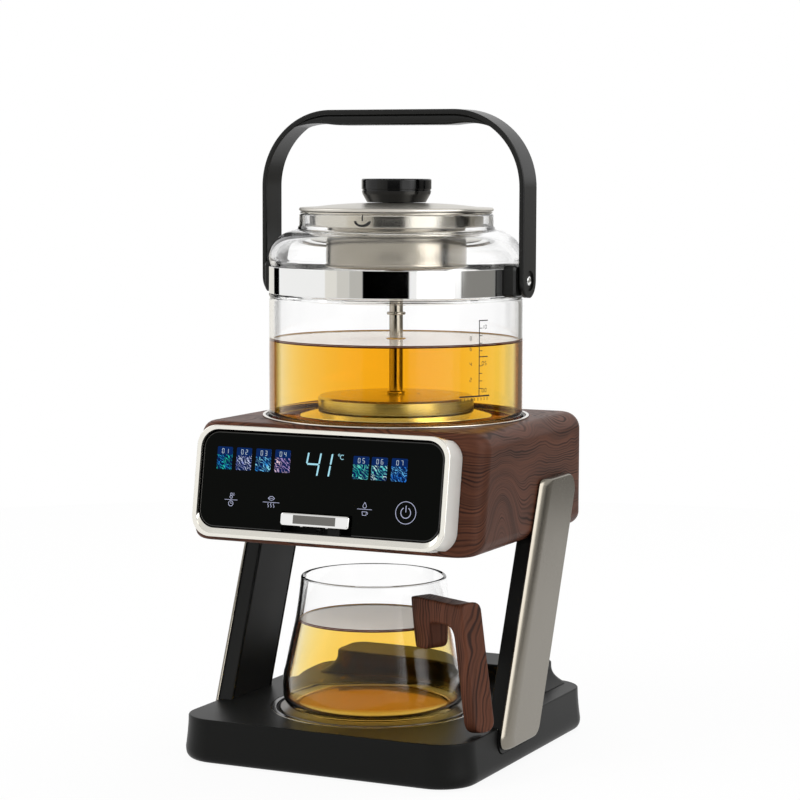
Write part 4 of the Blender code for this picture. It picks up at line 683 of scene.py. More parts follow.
def glass(tree):
    """Clear glass that lets lamps shine through it."""
    let_light_through(tree)
    return {"Base Color": WHITE, "Roughness": 0.0, "IOR": 1.45, "Transmission Weight": 1.0,
            "Specular Tint": (0.3, 0.3, 0.3)}


def mix_into_surface(tree, share, shader, other, output="Material Output"):
    mix = node(tree, "ShaderNodeMixShader", {0: share, 1: shader.outputs[0], 2: other.outputs[0]})
    tree.links.new(mix.outputs[0], tree.nodes[output].inputs["Surface"])


def let_light_through(tree):
    path = tree.nodes.new("ShaderNodeLightPath").outputs
    mix_into_surface(tree, path["Is Shadow Ray"], tree.nodes["Principled BSDF"],
                     node(tree, "ShaderNodeBsdfTransparent"))


# Painted shade: darker amber for the tea where its edge is seen side-on, through the most glass
PAINTED_EDGE_SHADE = (0.47, 0.23, 0.06)


def tea(tree, density, edge_from, edge_to):
    """Tea as a tinted volume; it doesn't bend the light, as the photograph shows it."""
    # Where the tea is seen side-on its colour turns darker amber: painted shade at its edges
    facing_share = node(tree, "ShaderNodeLayerWeight", {"Blend": 0.5}).outputs["Facing"]
    edge = remap(tree, facing_share, edge_from, edge_to, 0.0, 1.0, True)
    volume = node(tree, "ShaderNodeVolumeAbsorption", {"Color": (*colours().tea, 1.0), "Density": density})
    tree.links.new(volume.outputs[0], tree.nodes["Material Output"].inputs["Volume"])
    let_light_through(tree)
    return {"Base Color": mixed(tree, edge, WHITE, PAINTED_EDGE_SHADE), "Roughness": 0.0, "IOR": 1.0,
            "Transmission Weight": 1.0}


def varied(tree, colour, share, scale, detail):
    """A colour that drifts slightly darker over the surface."""
    drift = noise(tree, surface_place(tree), scale, detail)
    return mixed(tree, remap(tree, drift, 0.3, 0.7), shaded(colour, share), colour)


# The tea's top: a pale cream tone, part see-through, painted for the surround's reflection on the still surface
def tea_top(tree):
    return {"Base Color": varied(tree, colours().tea_surface, 0.94, 30.0, 2.0), "Roughness": 0.03,
            "Alpha": 0.75, "IOR": 1.33}


def lit(tone, strength):
    return {"Base Color": BLACK, "Emission Color": tone, "Emission Strength": strength, "Roughness": 0.4,
            "Specular IOR Level": 0.0}


def glowing(tree, colour, strength):
    return lit(varied(tree, colour, 0.85, 700.0, 1.0), strength)


def picture_tile(tree, sky, near, far, seed):
    """A glowing tile with curling strokes in two colours on a dark sky."""
    where = surface_place(tree)
    moved = vector_maths(tree, "ADD", where, (seed, seed * 2, seed))
    bent = node(tree, "ShaderNodeTexNoise", {"Vector": moved, "Scale": 420.0, "Detail": 2.0}).outputs["Color"]
    turned_place = vector_maths(tree, "ADD", moved, vector_maths(tree, "MULTIPLY", bent, (0.005, 0.0, 0.005)))
    strokes = node(tree, "ShaderNodeTexWave", {
        "Vector": turned_place, "Scale": 270.0, "Distortion": 3.0, "Detail": 1.0, "Detail Scale": 1.5},
        bands_direction="DIAGONAL").outputs["Fac"]
    glow = remap(tree, noise(tree, moved, 520.0, 1.0), 0.38, 0.62, 0.25, 1.0, True)
    mask = times(tree, remap(tree, strokes, 0.50, 0.90, 0.0, 1.0, True), glow)
    blend = remap(tree, noise(tree, moved, 240.0, 1.0), 0.4, 0.6)
    return lit(mixed(tree, mask, sky, mixed(tree, blend, near, far)), 1.0)


def perforated(tree):
    """Satin strainer wall with rows of fine holes."""
    where = surface_place(tree)
    parts = split(tree, vector_maths(tree, "SUBTRACT", where, POT_AXIS))
    angle = maths(tree, "ARCTAN2", parts["Y"], parts["X"])
    row = maths(tree, "DIVIDE", parts["Z"], HOLE_PITCH * math.sqrt(3) / 2)
    column = maths(tree, "DIVIDE", times(tree, angle, radius_of("strainer_basket")), HOLE_PITCH)
    shift = times(tree, maths(tree, "FLOORED_MODULO", maths(tree, "FLOOR", row), 2.0), 0.5)
    across = minus(tree, maths(tree, "FRACT", plus(tree, column, shift)), 0.5)
    up = minus(tree, maths(tree, "FRACT", row), 0.5)
    distance = maths(tree, "SQRT", plus(tree, times(tree, across, across), times(tree, up, up)))
    hole = remap(tree, distance, 0.16, 0.30, 1.0, 0.0, True)
    # Holes are drawn as darker dots: painted shade seen into them, with a dip in the bump
    steel, shade = (0.36, 0.33, 0.275), (0.10, 0.09, 0.075)
    return {"Base Color": mixed(tree, times(tree, hole, 0.55), steel, shade), "Metallic": 1.0,
            "Roughness": remap(tree, noise(tree, where, 40.0, 2.0), 0.3, 0.7, 0.19, 0.23),
            "Normal": bump(tree, minus(tree, 1.0, hole), 0.12, 0.00006)}


def board(tree):
    traces = node(tree, "ShaderNodeTexBrick", {
        "Vector": surface_place(tree), "Scale": 160.0, "Mortar Size": 0.03, "Color1": (0.012, 0.10, 0.045, 1),
        "Color2": (0.015, 0.13, 0.055, 1), "Mortar": (0.03, 0.19, 0.09, 1)}).outputs["Color"]
    return {"Base Color": traces, "Roughness": 0.4}


HOLE_PITCH = 0.0011
SATIN = 0.00001
FINE = 0.000002
POLISHED = 0.000001
# Each finish's builder and its values; a name stands for the colour of the settings with that name
FINISHES = {
    "black_plastic": (moulded, "black", 0.46, 0.16),
    "black_base": (moulded, "black", 0.38, 0.10, SATIN),
    "black_satin": (moulded, "black", 0.30, 0.25, SATIN),
    "black_knob": (moulded, (0.003, 0.003, 0.003), 0.10, 0.34, POLISHED),
    "black_gloss": (moulded, (0.0012, 0.0015, 0.001), 0.08, 0.04, POLISHED),
    "black_edge": (moulded, (0.003, 0.003, 0.003), 0.12, 0.6, POLISHED),
    "rubber": (moulded, (0.016, 0.016, 0.017), 0.75, 0.3, 0.00005, 1500.0),
    # Beads at the tea's edge: painted shade in dark red-brown and painted golden light
    "meniscus": (moulded, (0.085, 0.014, 0.002), 0.4, 0.05, POLISHED),
    "meniscus_gold": (moulded, (0.55, 0.30, 0.06), 0.15, 0.5, POLISHED),
    "scale_paint": (moulded, "paint", 0.5, 0.2),
    "champagne": (brushed, (0.235, 0.215, 0.18), 0.24, (2600, 2600, 2600), POLISHED),
    "champagne_lined": (brushed, "champagne", 0.17, (60, 2500, 2500), FINE),
    # Painted light: a near-white, partly metallic copy of the champagne for the bezel's right side wall,
    # standing for the bright reflection it shows
    "champagne_side": (brushed, (0.97, 0.955, 0.91), 0.38, (60, 2500, 2500), FINE,
        {"Metallic": 0.25, "Specular IOR Level": 0.6}),
    "gunmetal": (brushed, (0.17, 0.165, 0.155), 0.26, (60, 3000, 3000), FINE),
    "chrome": (brushed, (0.86, 0.86, 0.85), 0.035, (20, 20, 20), POLISHED),
    "steel": (lathe_turned, "steel", 0.24, POT_AXIS),
    "steel_polished": (lathe_turned, "steel", 0.12, POT_AXIS, FINE),
    "riser_steel": (lathe_turned, (0.46, 0.415, 0.345), 0.14, POT_AXIS, FINE),
    "steel_lid": (lathe_turned, "steel", 0.34, POT_AXIS),
    "strainer_collar": (lathe_turned, (0.62, 0.59, 0.52), 0.16, POT_AXIS, 0.000003),
    "heater_aluminium": (lathe_turned, (0.55, 0.54, 0.52), 0.42, POT_AXIS),
    "rest_steel": (lathe_turned, "steel", 0.22, CUP_AXIS),
    "rest_plate": (lathe_turned, (0.13, 0.115, 0.095), 0.30, CUP_AXIS),
    # Painted light: a bright copy of the plate's steel for its middle under the cup, standing for the light the
    # tea gathers there
    "rest_bright": (lathe_turned, (0.85, 0.81, 0.72), 0.38, CUP_AXIS),
    "rest_dark": (lathe_turned, (0.05, 0.05, 0.05), 0.18, CUP_AXIS),
    "walnut_head": (walnut, None, (-0.047, 0.020, 0.034, 0.150, 0.192), 0.017),
    "walnut_handle": (walnut, (CUP_AXIS, (math.radians(-35), math.radians(80), HANDLE_TURN)),
        (0.010, 0.009, 0.0, 0.02, 0.2), 0.004, 1.05),
    "clear_glass": (glass,),
    "pot_tea": (tea, 36.0, 0.232, 0.254),
    "cup_tea": (tea, 32.0, 0.62, 0.80),
    # Painted reflection: the pale tone of the tea's top
    "tea_surface": (tea_top,),
    "perforated": (perforated,),
    "display_digits": (glowing, "digits", 1.0),
    "display_marks": (glowing, "marks", 0.9),
    "tile_marks": (glowing, (0.60, 0.72, 0.80), 1.0),
    "tile_head": (glowing, (0.004, 0.022, 0.115), 1.0),
    "board_green": (board,),
}

# Finish of each CAD node that stays
KEPT_NODES = {
    "base_bottom_cover": "black_plastic", "head_bottom_cover": "black_plastic",
    "control_board": "board_green", "display_board": "board_green", "power_board": "board_green",
    "drain_valve_body": "black_plastic", "drain_tube": "rubber", "drain_valve_plug": "steel",
    "warming_heater": "heater_aluminium", "temperature_probe": "steel", "lever_pin": "steel",
    "lever_spring": "black_satin", "lever_switch": "black_plastic", "power_inlet": "black_plastic",
}


# Base

HUMP_CORNER = 0.009


def base_ring(grow, height):
    half_x = BASE_HIGH.x - BASE_FLARE + grow
    half_y = BASE_HIGH.y - BASE_FLARE + grow
    return laid(rounded_rectangle(half_x, half_y, BASE_CORNER + grow), height)


def leg_outline(front_in=0.0, other_in=0.0, low=0.0, high=0.0):
    """The slanted side outline of a support as Y and Z points, drawn in at the front and elsewhere."""
    base_top = BASE_HIGH.z

    def line(offset, z):
        return LEG_FRONT_Y + offset + LEG_LEAN * (z - base_top)

    corner = [(line(front_in, low), low, LEG_FRONT_CORNER - other_in),
              (line(LEG_DEPTH - other_in, low), low, LEG_REAR_CORNER - other_in),
              (line(LEG_DEPTH - other_in, high), high, LEG_REAR_CORNER - other_in),
              (line(front_in, high), high, LEG_FRONT_CORNER - other_in)]
    return filleted(corner, CORNER_STEPS)


def make_base():
    top, under = BASE_HIGH.z, BASE_UNDER_Z
    rings = [base_ring(-BASE_WALL * 2 - BASE_TUCK + BASE_FLARE, BASE_LOW.z + BASE_WALL)]
    rings += [base_ring(BASE_FLARE - BASE_TUCK - BASE_WALL, BASE_LOW.z)]
    rings += [base_ring(BASE_FLARE - BASE_TUCK - BASE_WALL / 2, under)]
    for turn in range(0, 91, 10):
        angle = math.radians(turn)
        inset = BASE_TUCK * (1 - math.sin(angle) ** 0.85)
        rings.append(base_ring(BASE_FLARE - inset, BASE_SKIRT_Z - (BASE_SKIRT_Z - under)
                               * math.cos(angle) ** 0.8))
    for share in (0.15, 0.3, 0.5, 0.75, 1.0):
        height = BASE_SKIRT_Z + (top - BASE_EDGE - BASE_SKIRT_Z) * share
        rings.append(base_ring(BASE_FLARE * (1 - share) ** 1.6, height))
    for inset, height in arc((-BASE_EDGE, top - BASE_EDGE), (BASE_EDGE, BASE_EDGE), 15, 90, EDGE_STEPS):
        rings.append(base_ring(inset, height))
    base = loft("base", rings, finish("black_base"))
    tools = []
    for side in (-1, 1):
        post_low, post_high = corners("right_leg_post")
        outline = leg_outline(-GAP, -GAP, post_low.z - GAP, post_high.z)
        rings = [[(side * x, y, z) for y, z in outline]
                 for x in (post_low.x - GAP, BASE_HIGH.x + OVERRUN)]
        tools.append(loft("notch", rings))
    tools.append(rod("rest_hole", REST_RING_OUTER + GAP, (0, CUP_Y, corners("warming_heater")[0].z - GAP),
                     (0, CUP_Y, top + OVERRUN), steps=TURN_STEPS))
    inlet_low, inlet_high = corners("power_inlet")
    tools.append(block("inlet_hole", inlet_low - Vector((GAP, GAP, GAP)),
                       inlet_high + Vector((GAP, GAP, GAP))))
    combined(base, tools)
    set_in(base, "stand", "black_plastic", "base_shell")
    for word in ("front_left", "front_right", "rear_left", "rear_right"):
        make_foot(word)
        make_screw(word)
    make_hump()


def make_foot(word):
    low, high = corners(f"foot_{word}")
    middle, radius = (low + high) / 2, (high.x - low.x) / 2
    profile = [(0, high.z)] + filleted([
        (0, high.z), (radius, high.z), (radius, low.z, 0.0006), (radius * 0.8, low.z),
        (radius * 0.75, low.z + 0.0003), (0, low.z)], 4, False)[1:]
    set_in(turned(f"rubber_foot_{word}", profile, (middle.x, middle.y, 0), finish("rubber"),
                  SMALL_TURN_STEPS), "stand", "rubber", f"foot_{word}")


def make_screw(word):
    low, high = corners(f"base_screw_{word}")
    middle, radius = (low + high) / 2, (high.x - low.x) / 2
    shank = radius * 0.53
    profile = filleted([(0, high.z), (shank, high.z), (shank, low.z + 0.0009), (radius, low.z + 0.0009),
                        (radius, low.z, 0.0004), (0, low.z)], 4, False)
    screw = turned(f"screw_{word}", profile, (middle.x, middle.y, 0), finish("steel"), 48)
    depth = 0.0007
    bars = [block("recess", (middle.x - a, middle.y - b, low.z - depth),
                  (middle.x + a, middle.y + b, low.z + depth))
            for a, b in ((radius * 0.6, radius * 0.13), (radius * 0.13, radius * 0.6))]
    combined(screw, bars)
    set_in(screw, "stand", "steel", f"base_screw_{word}")


def make_hump():
    low, high = corners("rear_hump")
    half_foot, half_top = high.x, high.x - HUMP_CORNER
    rise = high.z - low.z
    crown = 0.0016
    rings = []
    for step in range(13):
        share = step / 12
        spread = (half_foot - half_top) * (1 - share) ** 3
        rings.append(hump_ring(half_top + spread, low.y + (half_foot - half_top) - spread, high.y,
                               low.z + (rise - crown) * share))
    for inset, height in arc((crown, high.z - crown), (crown, crown), 180, 90, EDGE_STEPS)[1:]:
        rings.append(hump_ring(half_top - inset, low.y + half_foot - half_top + inset, high.y - inset,
                               height))
    set_in(loft("rear_housing", rings, finish("black_base")), "stand", "black_plastic", "rear_hump")


def hump_ring(half, front, rear, height):
    return laid(rounded_rectangle(half, (rear - front) / 2, HUMP_CORNER), height, (front + rear) / 2)


REST_RING_OUTER = 0.061
REST_RING_INNER = 0.058
REST_RING_LIP = 0.0004
# Radius of the plate's middle that is painted bright: a painted pool of light under the cup
PAINTED_GLOW_RADIUS = 0.0445


def make_cup_rest():
    ring_low, ring_high = corners("cup_rest_ring")
    plate_low, plate_high = corners("cup_rest_plate")
    flange, bore = radius_of("cup_rest_ring"), REST_RING_INNER - 0.004
    shelf = ring_low.z + 0.0015
    ring = turned("rest_ring", filleted([
        (REST_RING_INNER, ring_high.z, REST_RING_LIP), (REST_RING_OUTER, ring_high.z, REST_RING_LIP),
        (REST_RING_OUTER, shelf), (flange, shelf), (flange, ring_low.z), (bore, ring_low.z),
        (bore, shelf), (REST_RING_INNER, shelf)], 4), CUP_AXIS, finish("rest_steel"))
    add_finish(ring, "rest_dark",
               lambda face: reach_from(CUP_AXIS, face.center) < REST_RING_OUTER - 0.0007)
    set_in(ring, "stand", "steel", "cup_rest_ring")
    gasket_low, gasket_high = corners("cup_rest_gasket")
    outer, inner = radius_of("cup_rest_gasket"), radius_of("cup_rest_plate") + GAP
    set_in(turned("rest_seal", [
        (inner, gasket_high.z), (outer, gasket_high.z), (outer, gasket_low.z), (inner, gasket_low.z)],
        CUP_AXIS, finish("rubber")), "stand", "rubber", "cup_rest_gasket")
    radius = radius_of("cup_rest_plate")
    flat = plate_high.z - 0.0004
    plate = turned("rest_plate", [
        (0, flat), (PAINTED_GLOW_RADIUS, flat), (PAINTED_GLOW_RADIUS + 0.0006, flat), (radius * 0.9, flat)]
        + arc((radius - 0.0008, plate_high.z - 0.0008), (0.0008, 0.0008), 90, 0, 4)
        + [(radius, plate_low.z), (0, plate_low.z)], CUP_AXIS, finish("rest_plate"))
    # The plate's level middle under the cup gets the bright finish: a painted pool of light seen through the
    # tea
    add_finish(plate, "rest_bright",
               lambda face: reach_from(CUP_AXIS, face.center) < PAINTED_GLOW_RADIUS and face.normal.z > 0.9)
    set_in(plate, "stand", "champagne", "cup_rest_plate")


COVER_SOFT_EDGE = 0.0125
COVER_THIN_EDGE = 0.0013
POST_GROOVE = 0.0006
POST_RIM = 0.0014


def make_supports():
    for side, word in ((-1, "left"), (1, "right")):
        make_post(side, word)
        make_cover(side, word)


def make_post(side, word):
    low, high = corners("right_leg_post")
    floor, top = low.z, HEAD_LOW.z - GAP
    edge = 0.0009
    places = [(0, POST_RIM + POST_GROOVE + edge), (edge / 2, POST_RIM + POST_GROOVE),
              (POST_GROOVE * 2, POST_RIM + POST_GROOVE), (POST_GROOVE * 2, POST_RIM), (edge / 3, POST_RIM)]
    rings = [post_ring(side, low.x + depth, inset, floor, top) for depth, inset in places]
    for inset, depth in arc((edge, edge), (edge, edge), 270, 180, EDGE_STEPS):
        rings.append(post_ring(side, low.x + depth, inset, floor, top))
    rings.append(post_ring(side, high.x, 0, floor, top))
    set_in(loft(f"{word}_post", rings, finish("black_plastic")), "stand", "black_plastic", f"{word}_leg_post")


def post_ring(side, x, inset, floor, top):
    rim = 0.0011
    return [(side * x, y, z) for y, z in leg_outline(rim + inset, inset, floor + inset, top)]


def make_cover(side, word):
    low, high = corners("right_leg_cover")
    thick = high.x - low.x
    flat = thick * 0.2
    rings = [cover_ring(side, low.x, 0.0003, 0.0003, low, high),
             cover_ring(side, low.x + 0.0003, 0, 0, low, high)]
    for step in range(CORNER_STEPS + 1):
        angle = RIGHT_ANGLE * step / CORNER_STEPS
        depth = low.x + flat + (thick - flat) * math.sin(angle)
        share = step / CORNER_STEPS
        front = COVER_SOFT_EDGE * (0.35 * share + 0.65 * (1 - math.cos(angle)))
        other = COVER_THIN_EDGE * (1 - math.cos(angle))
        rings.append(cover_ring(side, depth, front, other, low, high))
    set_in(loft(f"{word}_cover", rings, finish("champagne")), "stand", "champagne", f"{word}_leg_cover")


def cover_ring(side, x, front, other, low, high):
    return [(side * x, y, z) for y, z in leg_outline(front, other, low.z + other, high.z - other)]


# Head

HEAD_REAR_CORNER = 0.016
HEAD_FRONT_CORNER = 0.0123
HEAD_TOP_EDGE = 0.010
HEAD_BOTTOM_EDGE = 0.008
HEAD_FRONT_EDGE = 0.0025
HEAD_UNDER_Z = 0.1292
SEAT_HOLE = 0.0781


def edge_inset(z, low_radius, high_radius):
    """How far round top and bottom edges draw the head's walls in at a height."""
    low, high = HEAD_UNDER_Z, HEAD_HIGH.z
    if z > high - high_radius:
        return high_radius - math.sqrt(max(high_radius ** 2 - (z - high + high_radius) ** 2, 0))
    if z < low + low_radius:
        return low_radius - math.sqrt(max(low_radius ** 2 - (low + low_radius - z) ** 2, 0))
    return 0.0


def head_front(z):
    clear = (BEZEL_DEPTH + GAP) / math.cos(PANEL_LEAN)
    return PANEL_Y + clear - (PANEL_Z - z) * math.tan(PANEL_LEAN)


def head_section(z):
    side = edge_inset(z, HEAD_BOTTOM_EDGE, HEAD_TOP_EDGE)
    front = head_front(z) + edge_inset(z, HEAD_FRONT_EDGE, HEAD_FRONT_EDGE)
    rear = HEAD_HIGH.y - side
    front_corner = HEAD_FRONT_CORNER - side / 2
    rear_corner = HEAD_REAR_CORNER - side
    outline = rounded_rectangle(HEAD_HIGH.x - side, (rear - front) / 2,
                                (front_corner, rear_corner, rear_corner, front_corner))
    return laid(outline, z, (front + rear) / 2)


def make_head():
    low, high = HEAD_UNDER_Z, HEAD_HIGH.z
    steps = 12
    heights = [low + HEAD_BOTTOM_EDGE * (1 - math.cos(RIGHT_ANGLE * step / steps))
               for step in range(steps + 1)]
    heights += [high - HEAD_TOP_EDGE * (1 - math.sin(RIGHT_ANGLE * step / steps))
                for step in range(steps + 1)]
    head = loft("walnut_head", [head_section(z) for z in heights], finish("walnut_head"))
    seat_low = corners("pot_seat_ring")[0].z
    hole = rod("seat_hole", SEAT_HOLE, (0, POT_Y, seat_low - GAP), (0, POT_Y, high + OVERRUN),
               steps=TURN_STEPS)
    cover_low, cover_high = corners("head_bottom_cover")
    half = (cover_high - cover_low) / 2
    middle = (cover_high + cover_low) / 2
    outline = rounded_rectangle(half.x + GAP, half.y + GAP, HEAD_TOP_EDGE)
    recess = prism("floor_recess", [(x, y + middle.y) for x, y in outline], low - OVERRUN, cover_high.z + GAP)
    combined(head, [hole, recess])
    set_in(head, "stand", "walnut", "head_shell")
    make_nozzle()


def make_nozzle():
    low, high = corners("outlet_nozzle")
    flange = radius_of("outlet_nozzle")
    body, tip, bore = flange - 0.003, 0.005, 0.0025
    shelf = high.z - 0.0017
    profile = filleted([(flange, high.z), (flange, shelf), (body, shelf), (body, HEAD_LOW.z, 0.0008),
                        (tip, low.z, 0.0008), (bore, low.z, 0.0004), (bore, high.z)], 4)
    set_in(turned("nozzle", profile, (0, DRAIN_Y, 0), finish("black_satin"), SMALL_TURN_STEPS), "stand",
           "black_plastic", "outlet_nozzle")


# Front panel

OPENING_CORNER = BEZEL_CORNER - 0.0015
LEDGE_LIP = 0.0018
GLASS_SET_BACK = 0.0008
GLASS_FRONT = -GLASS_SET_BACK - 0.0006
GLASS_THICK = 0.004
GLASS_GAP = 0.0005
LEVER_DROP = 0.0180
LEVER_REACH = 0.0018
LEVER_PAD_DEPTH = 0.0060
LEVER_PIN_DEPTH = 0.0105
LINER_DEPTH = 0.0143


def opening(grow):
    """Outline of the bezel's opening, off its middle because the ledge below is deep."""
    words = sizes()
    top, bottom = BEZEL_TOP_EDGE - words.bezel_top_lip, BEZEL_LOW_EDGE - words.bezel_ledge
    half_width = BEZEL_HALF_WIDTH - words.bezel_side_lip
    outline = rounded_rectangle(half_width + grow, (top + bottom) / 2 + grow, OPENING_CORNER + grow)
    return [(x, y + (top - bottom) / 2) for x, y in outline]


def make_panel():
    make_bezel()
    make_display_glass()
    make_pocket()


def make_bezel():
    edge, inner_edge, slope = 0.0006, 0.0005, 0.0016
    words = sizes()
    half_height = (BEZEL_TOP_EDGE + BEZEL_LOW_EDGE) / 2
    middle = (BEZEL_TOP_EDGE - BEZEL_LOW_EDGE) / 2

    def outer(inset, height):
        outline = rounded_rectangle(BEZEL_HALF_WIDTH - inset, half_height - inset, BEZEL_CORNER - inset)
        return laid(outline, height, middle)

    def inner(grow, height):
        return laid(opening(grow), height)

    def lip(height):
        """The opening's front edge: level sides and top, and a bottom that starts near the rim."""
        ring = inner(inner_edge, height)
        rim = laid(rounded_rectangle(
            BEZEL_HALF_WIDTH - words.bezel_side_lip + inner_edge, half_height - LEDGE_LIP,
            OPENING_CORNER + inner_edge), height, middle)
        mixed_ring = []
        for first, second in zip(ring, rim):
            share = min(max(-first[1] / half_height * 1.6, 0), 1)
            mixed_ring.append(tuple(a + (b - a) * share for a, b in zip(first, second)))
        return mixed_ring

    rings = [inner(0, -BEZEL_DEPTH), outer(0, -BEZEL_DEPTH), outer(0, -edge)]
    for inset, depth in arc((edge, -edge), (edge, edge), 180, 90, EDGE_STEPS)[1:]:
        rings.append(outer(inset, depth))
    rings += [lip(0), [(x, y, z - inner_edge) for x, y, z in lip(0)], inner(0, -slope)]
    bezel = loft("bezel", rings, finish("champagne_lined"), capped=False)
    # The right side wall gets the lighter copy of the finish: painted light on that side only
    add_finish(bezel, "champagne_side", lambda face: (
        face.normal.x > 0.5 and face.center.x > BEZEL_HALF_WIDTH - 0.006 and face.center.z < -edge / 2))
    set_in(to_panel(bezel), "stand", "champagne", "front_bezel")


def make_display_glass():
    edge = 0.0012
    rings = [laid(opening(-GLASS_GAP), GLASS_FRONT - GLASS_THICK)]
    for inset, depth in arc((edge, GLASS_FRONT - edge), (edge, edge), 180, 90, EDGE_STEPS):
        rings.append(laid(opening(-GLASS_GAP - inset), depth))
    glass_piece = loft("display_window", rings, finish("black_gloss"))
    add_finish(glass_piece, "black_edge", lambda face: 0.05 < face.normal.z < 0.97)
    half = corners("lever_bar")[1].x + 0.0007
    pocket = block("lever_opening", (-half, -BEZEL_LOW_EDGE, -BEZEL_DEPTH),
                   (half, -LEVER_DROP + 0.0044, OVERRUN))
    combined(glass_piece, [pocket])
    set_in(to_panel(glass_piece), "stand", "display_black", "display_glass")


def make_pocket():
    """Black liner behind the lever."""
    half = corners("lever_bar")[1].x + 0.0012
    top = -LEVER_DROP + 0.0048
    bottom = -BEZEL_LOW_EDGE + sizes().bezel_ledge + GAP
    outer = block("lever_liner", (-half, bottom, -LINER_DEPTH), (half, top, -GLASS_SET_BACK - GLASS_THICK))
    outer.data.materials.append(finish("black_plastic"))
    hollow = block("hollow", (-half + 0.0008, bottom + 0.0006, -LINER_DEPTH + 0.0007),
                   (half - 0.0008, top - 0.0006, 0))
    combined(outer, [hollow])
    set_in(to_panel(outer), "stand", "black_plastic")


def make_lever():
    half, tall = corners("lever_bar")[1].x, 0.0036
    rear = LEVER_REACH - LEVER_PAD_DEPTH
    edge = 0.0009
    rings = [lever_ring(half - edge, tall - edge, rear)]
    for inset, depth in arc((edge, LEVER_REACH - edge), (edge, edge), 180, 90, EDGE_STEPS):
        rings.append(lever_ring(half - inset, tall - inset, depth, -inset * 0.6))
    rings.insert(1, lever_ring(half, tall, rear + edge))
    bar = loft("lever_bar_shell", rings, finish("chrome"))
    face_half = half * 0.62
    plate = block("plate", (-face_half, -LEVER_DROP - tall + 0.0012, LEVER_REACH - 0.0002),
                  (face_half, -LEVER_DROP + tall - 0.0011, LEVER_REACH + 0.00005), finish("gunmetal"))
    arm = block("arm", (-0.014, -LEVER_DROP - 0.0015, -LEVER_PIN_DEPTH),
                (0.014, -LEVER_DROP + 0.0015, rear + GAP), finish("black_plastic"), 0.0004)
    hub = rod("hub", 0.0029, (-half, -LEVER_DROP, -LEVER_PIN_DEPTH), (half, -LEVER_DROP, -LEVER_PIN_DEPTH),
              finish("black_plastic"), 0.0003)
    screws = [rod("screw", 0.0009, (x, -LEVER_DROP - tall - 0.0003, 0.0),
                  (x, -LEVER_DROP - tall + 0.0004, 0.0), finish("chrome"), 0.0001, 24)
              for x in (-0.0085, 0.0075)]
    lever = joined("lever", [bar, plate, arm, hub, *screws])
    set_in(to_panel(lever), "lever", "champagne", "lever_bar")


def lever_ring(half, tall, depth, shift=0.0):
    return [(x, y - LEVER_DROP + shift, depth) for x, y in rounded_rectangle(half, tall, 0.0016, EDGE_STEPS)]


# Display marks

MARK_THICK = 0.00005
STROKE = 0.00036


def mark_base():
    return GLASS_FRONT + MARK_THICK / 2


def stroke(points, width=STROKE, closed=False):
    """A flat line of even width as a prism on the panel."""
    pieces = []
    pairs = list(zip(points, points[1:]))
    if closed:
        pairs.append((points[-1], points[0]))
    for start, end in pairs:
        a, b = Vector(start), Vector(end)
        along = (b - a).normalized() * width / 2
        across = Vector((-along.y, along.x))
        outline = [a - along + across, a - along - across, b + along - across, b + along + across]
        pieces.append(prism("stroke", [tuple(point) for point in outline], mark_base(),
                            mark_base() + MARK_THICK))
    return pieces


def ring_mark(centre, radius, width=STROKE, start=0.0, end=360.0, steps=40):
    outer = arc(centre, (radius + width / 2,) * 2, start, end, steps)
    inner = arc(centre, (radius - width / 2,) * 2, start, end, steps)
    low, high = mark_base(), mark_base() + MARK_THICK
    if end - start < 360:
        return [prism("ring", outer + inner[::-1], low, high)]
    rings = [[(x, y, z) for x, y in line[:-1]] for line,
             z in ((outer, low), (outer, high), (inner, high), (inner, low))]
    return [loft("ring", rings, capped=False)]


def spot(outline):
    return [prism("spot", outline, mark_base(), mark_base() + MARK_THICK)]


SEGMENTS = {"0": "abcdef", "1": "bc", "2": "abged", "3": "abgcd", "4": "fgbc", "5": "afgcd", "6": "afgedc",
            "7": "abc", "8": "abcdefg", "9": "abcdfg"}


def digit(figure, left, bottom, width, height, bar, slant=0.0, tight=0.5):
    """A seven-segment figure; each segment is a bar with mitred ends."""
    middle = bottom + height / 2
    right, top = left + width, bottom + height
    places = {"a": ((left, top), (right, top)), "b": ((right, top), (right, middle)),
              "c": ((right, middle), (right, bottom)), "d": ((left, bottom), (right, bottom)),
              "e": ((left, middle), (left, bottom)), "f": ((left, top), (left, middle)),
              "g": ((left, middle), (right, middle))}
    pieces = []
    for name in SEGMENTS[figure]:
        a, b = (Vector(point) for point in places[name])
        along = (b - a).normalized()
        across = Vector((-along.y, along.x)) * bar / 2
        a, b = a + along * bar * tight, b - along * bar * tight
        cut = along * bar / 2
        outline = [a - cut * tight, a + across, b + across, b + cut * tight, b - across, a - across]
        outline = [(x + slant * (y - bottom), y) for x, y in outline]
        pieces += spot(list(reversed(outline)))
    return pieces


TILE_LEFT_PLACES = (-0.0671, -0.0545, -0.0418, -0.0294)
TILE_RIGHT_PLACES = (0.0205, 0.0320, 0.0444)
TILE_LEFT_TOP = 0.0100
TILE_RIGHT_TOP = 0.0110
TILE_WIDTH = 0.0099
TILE_HEIGHT = 0.0130
TILE_HEAD_SHARE = 0.36
TILE_SKY = (0.003, 0.014, 0.075)
TILE_STROKES = (((0.02, 0.30, 0.85), (0.02, 0.55, 0.38)), ((0.20, 0.24, 0.62), (0.60, 0.66, 0.85)),
                ((0.03, 0.30, 0.75), (0.25, 0.70, 0.85)), ((0.42, 0.30, 0.62), (0.85, 0.62, 0.72)),
                ((0.02, 0.50, 0.42), (0.20, 0.75, 0.62)), ((0.10, 0.60, 0.60), (0.70, 0.90, 0.85)),
                ((0.02, 0.20, 0.75), (0.15, 0.55, 0.95)))


def make_display():
    make_tiles()
    make_digits()
    make_keys()


def show_marks(name, pieces, look):
    for piece in pieces:
        piece.data.materials.append(finish(look))
    set_in(to_panel(joined(name, pieces)), "stand", "display_black")


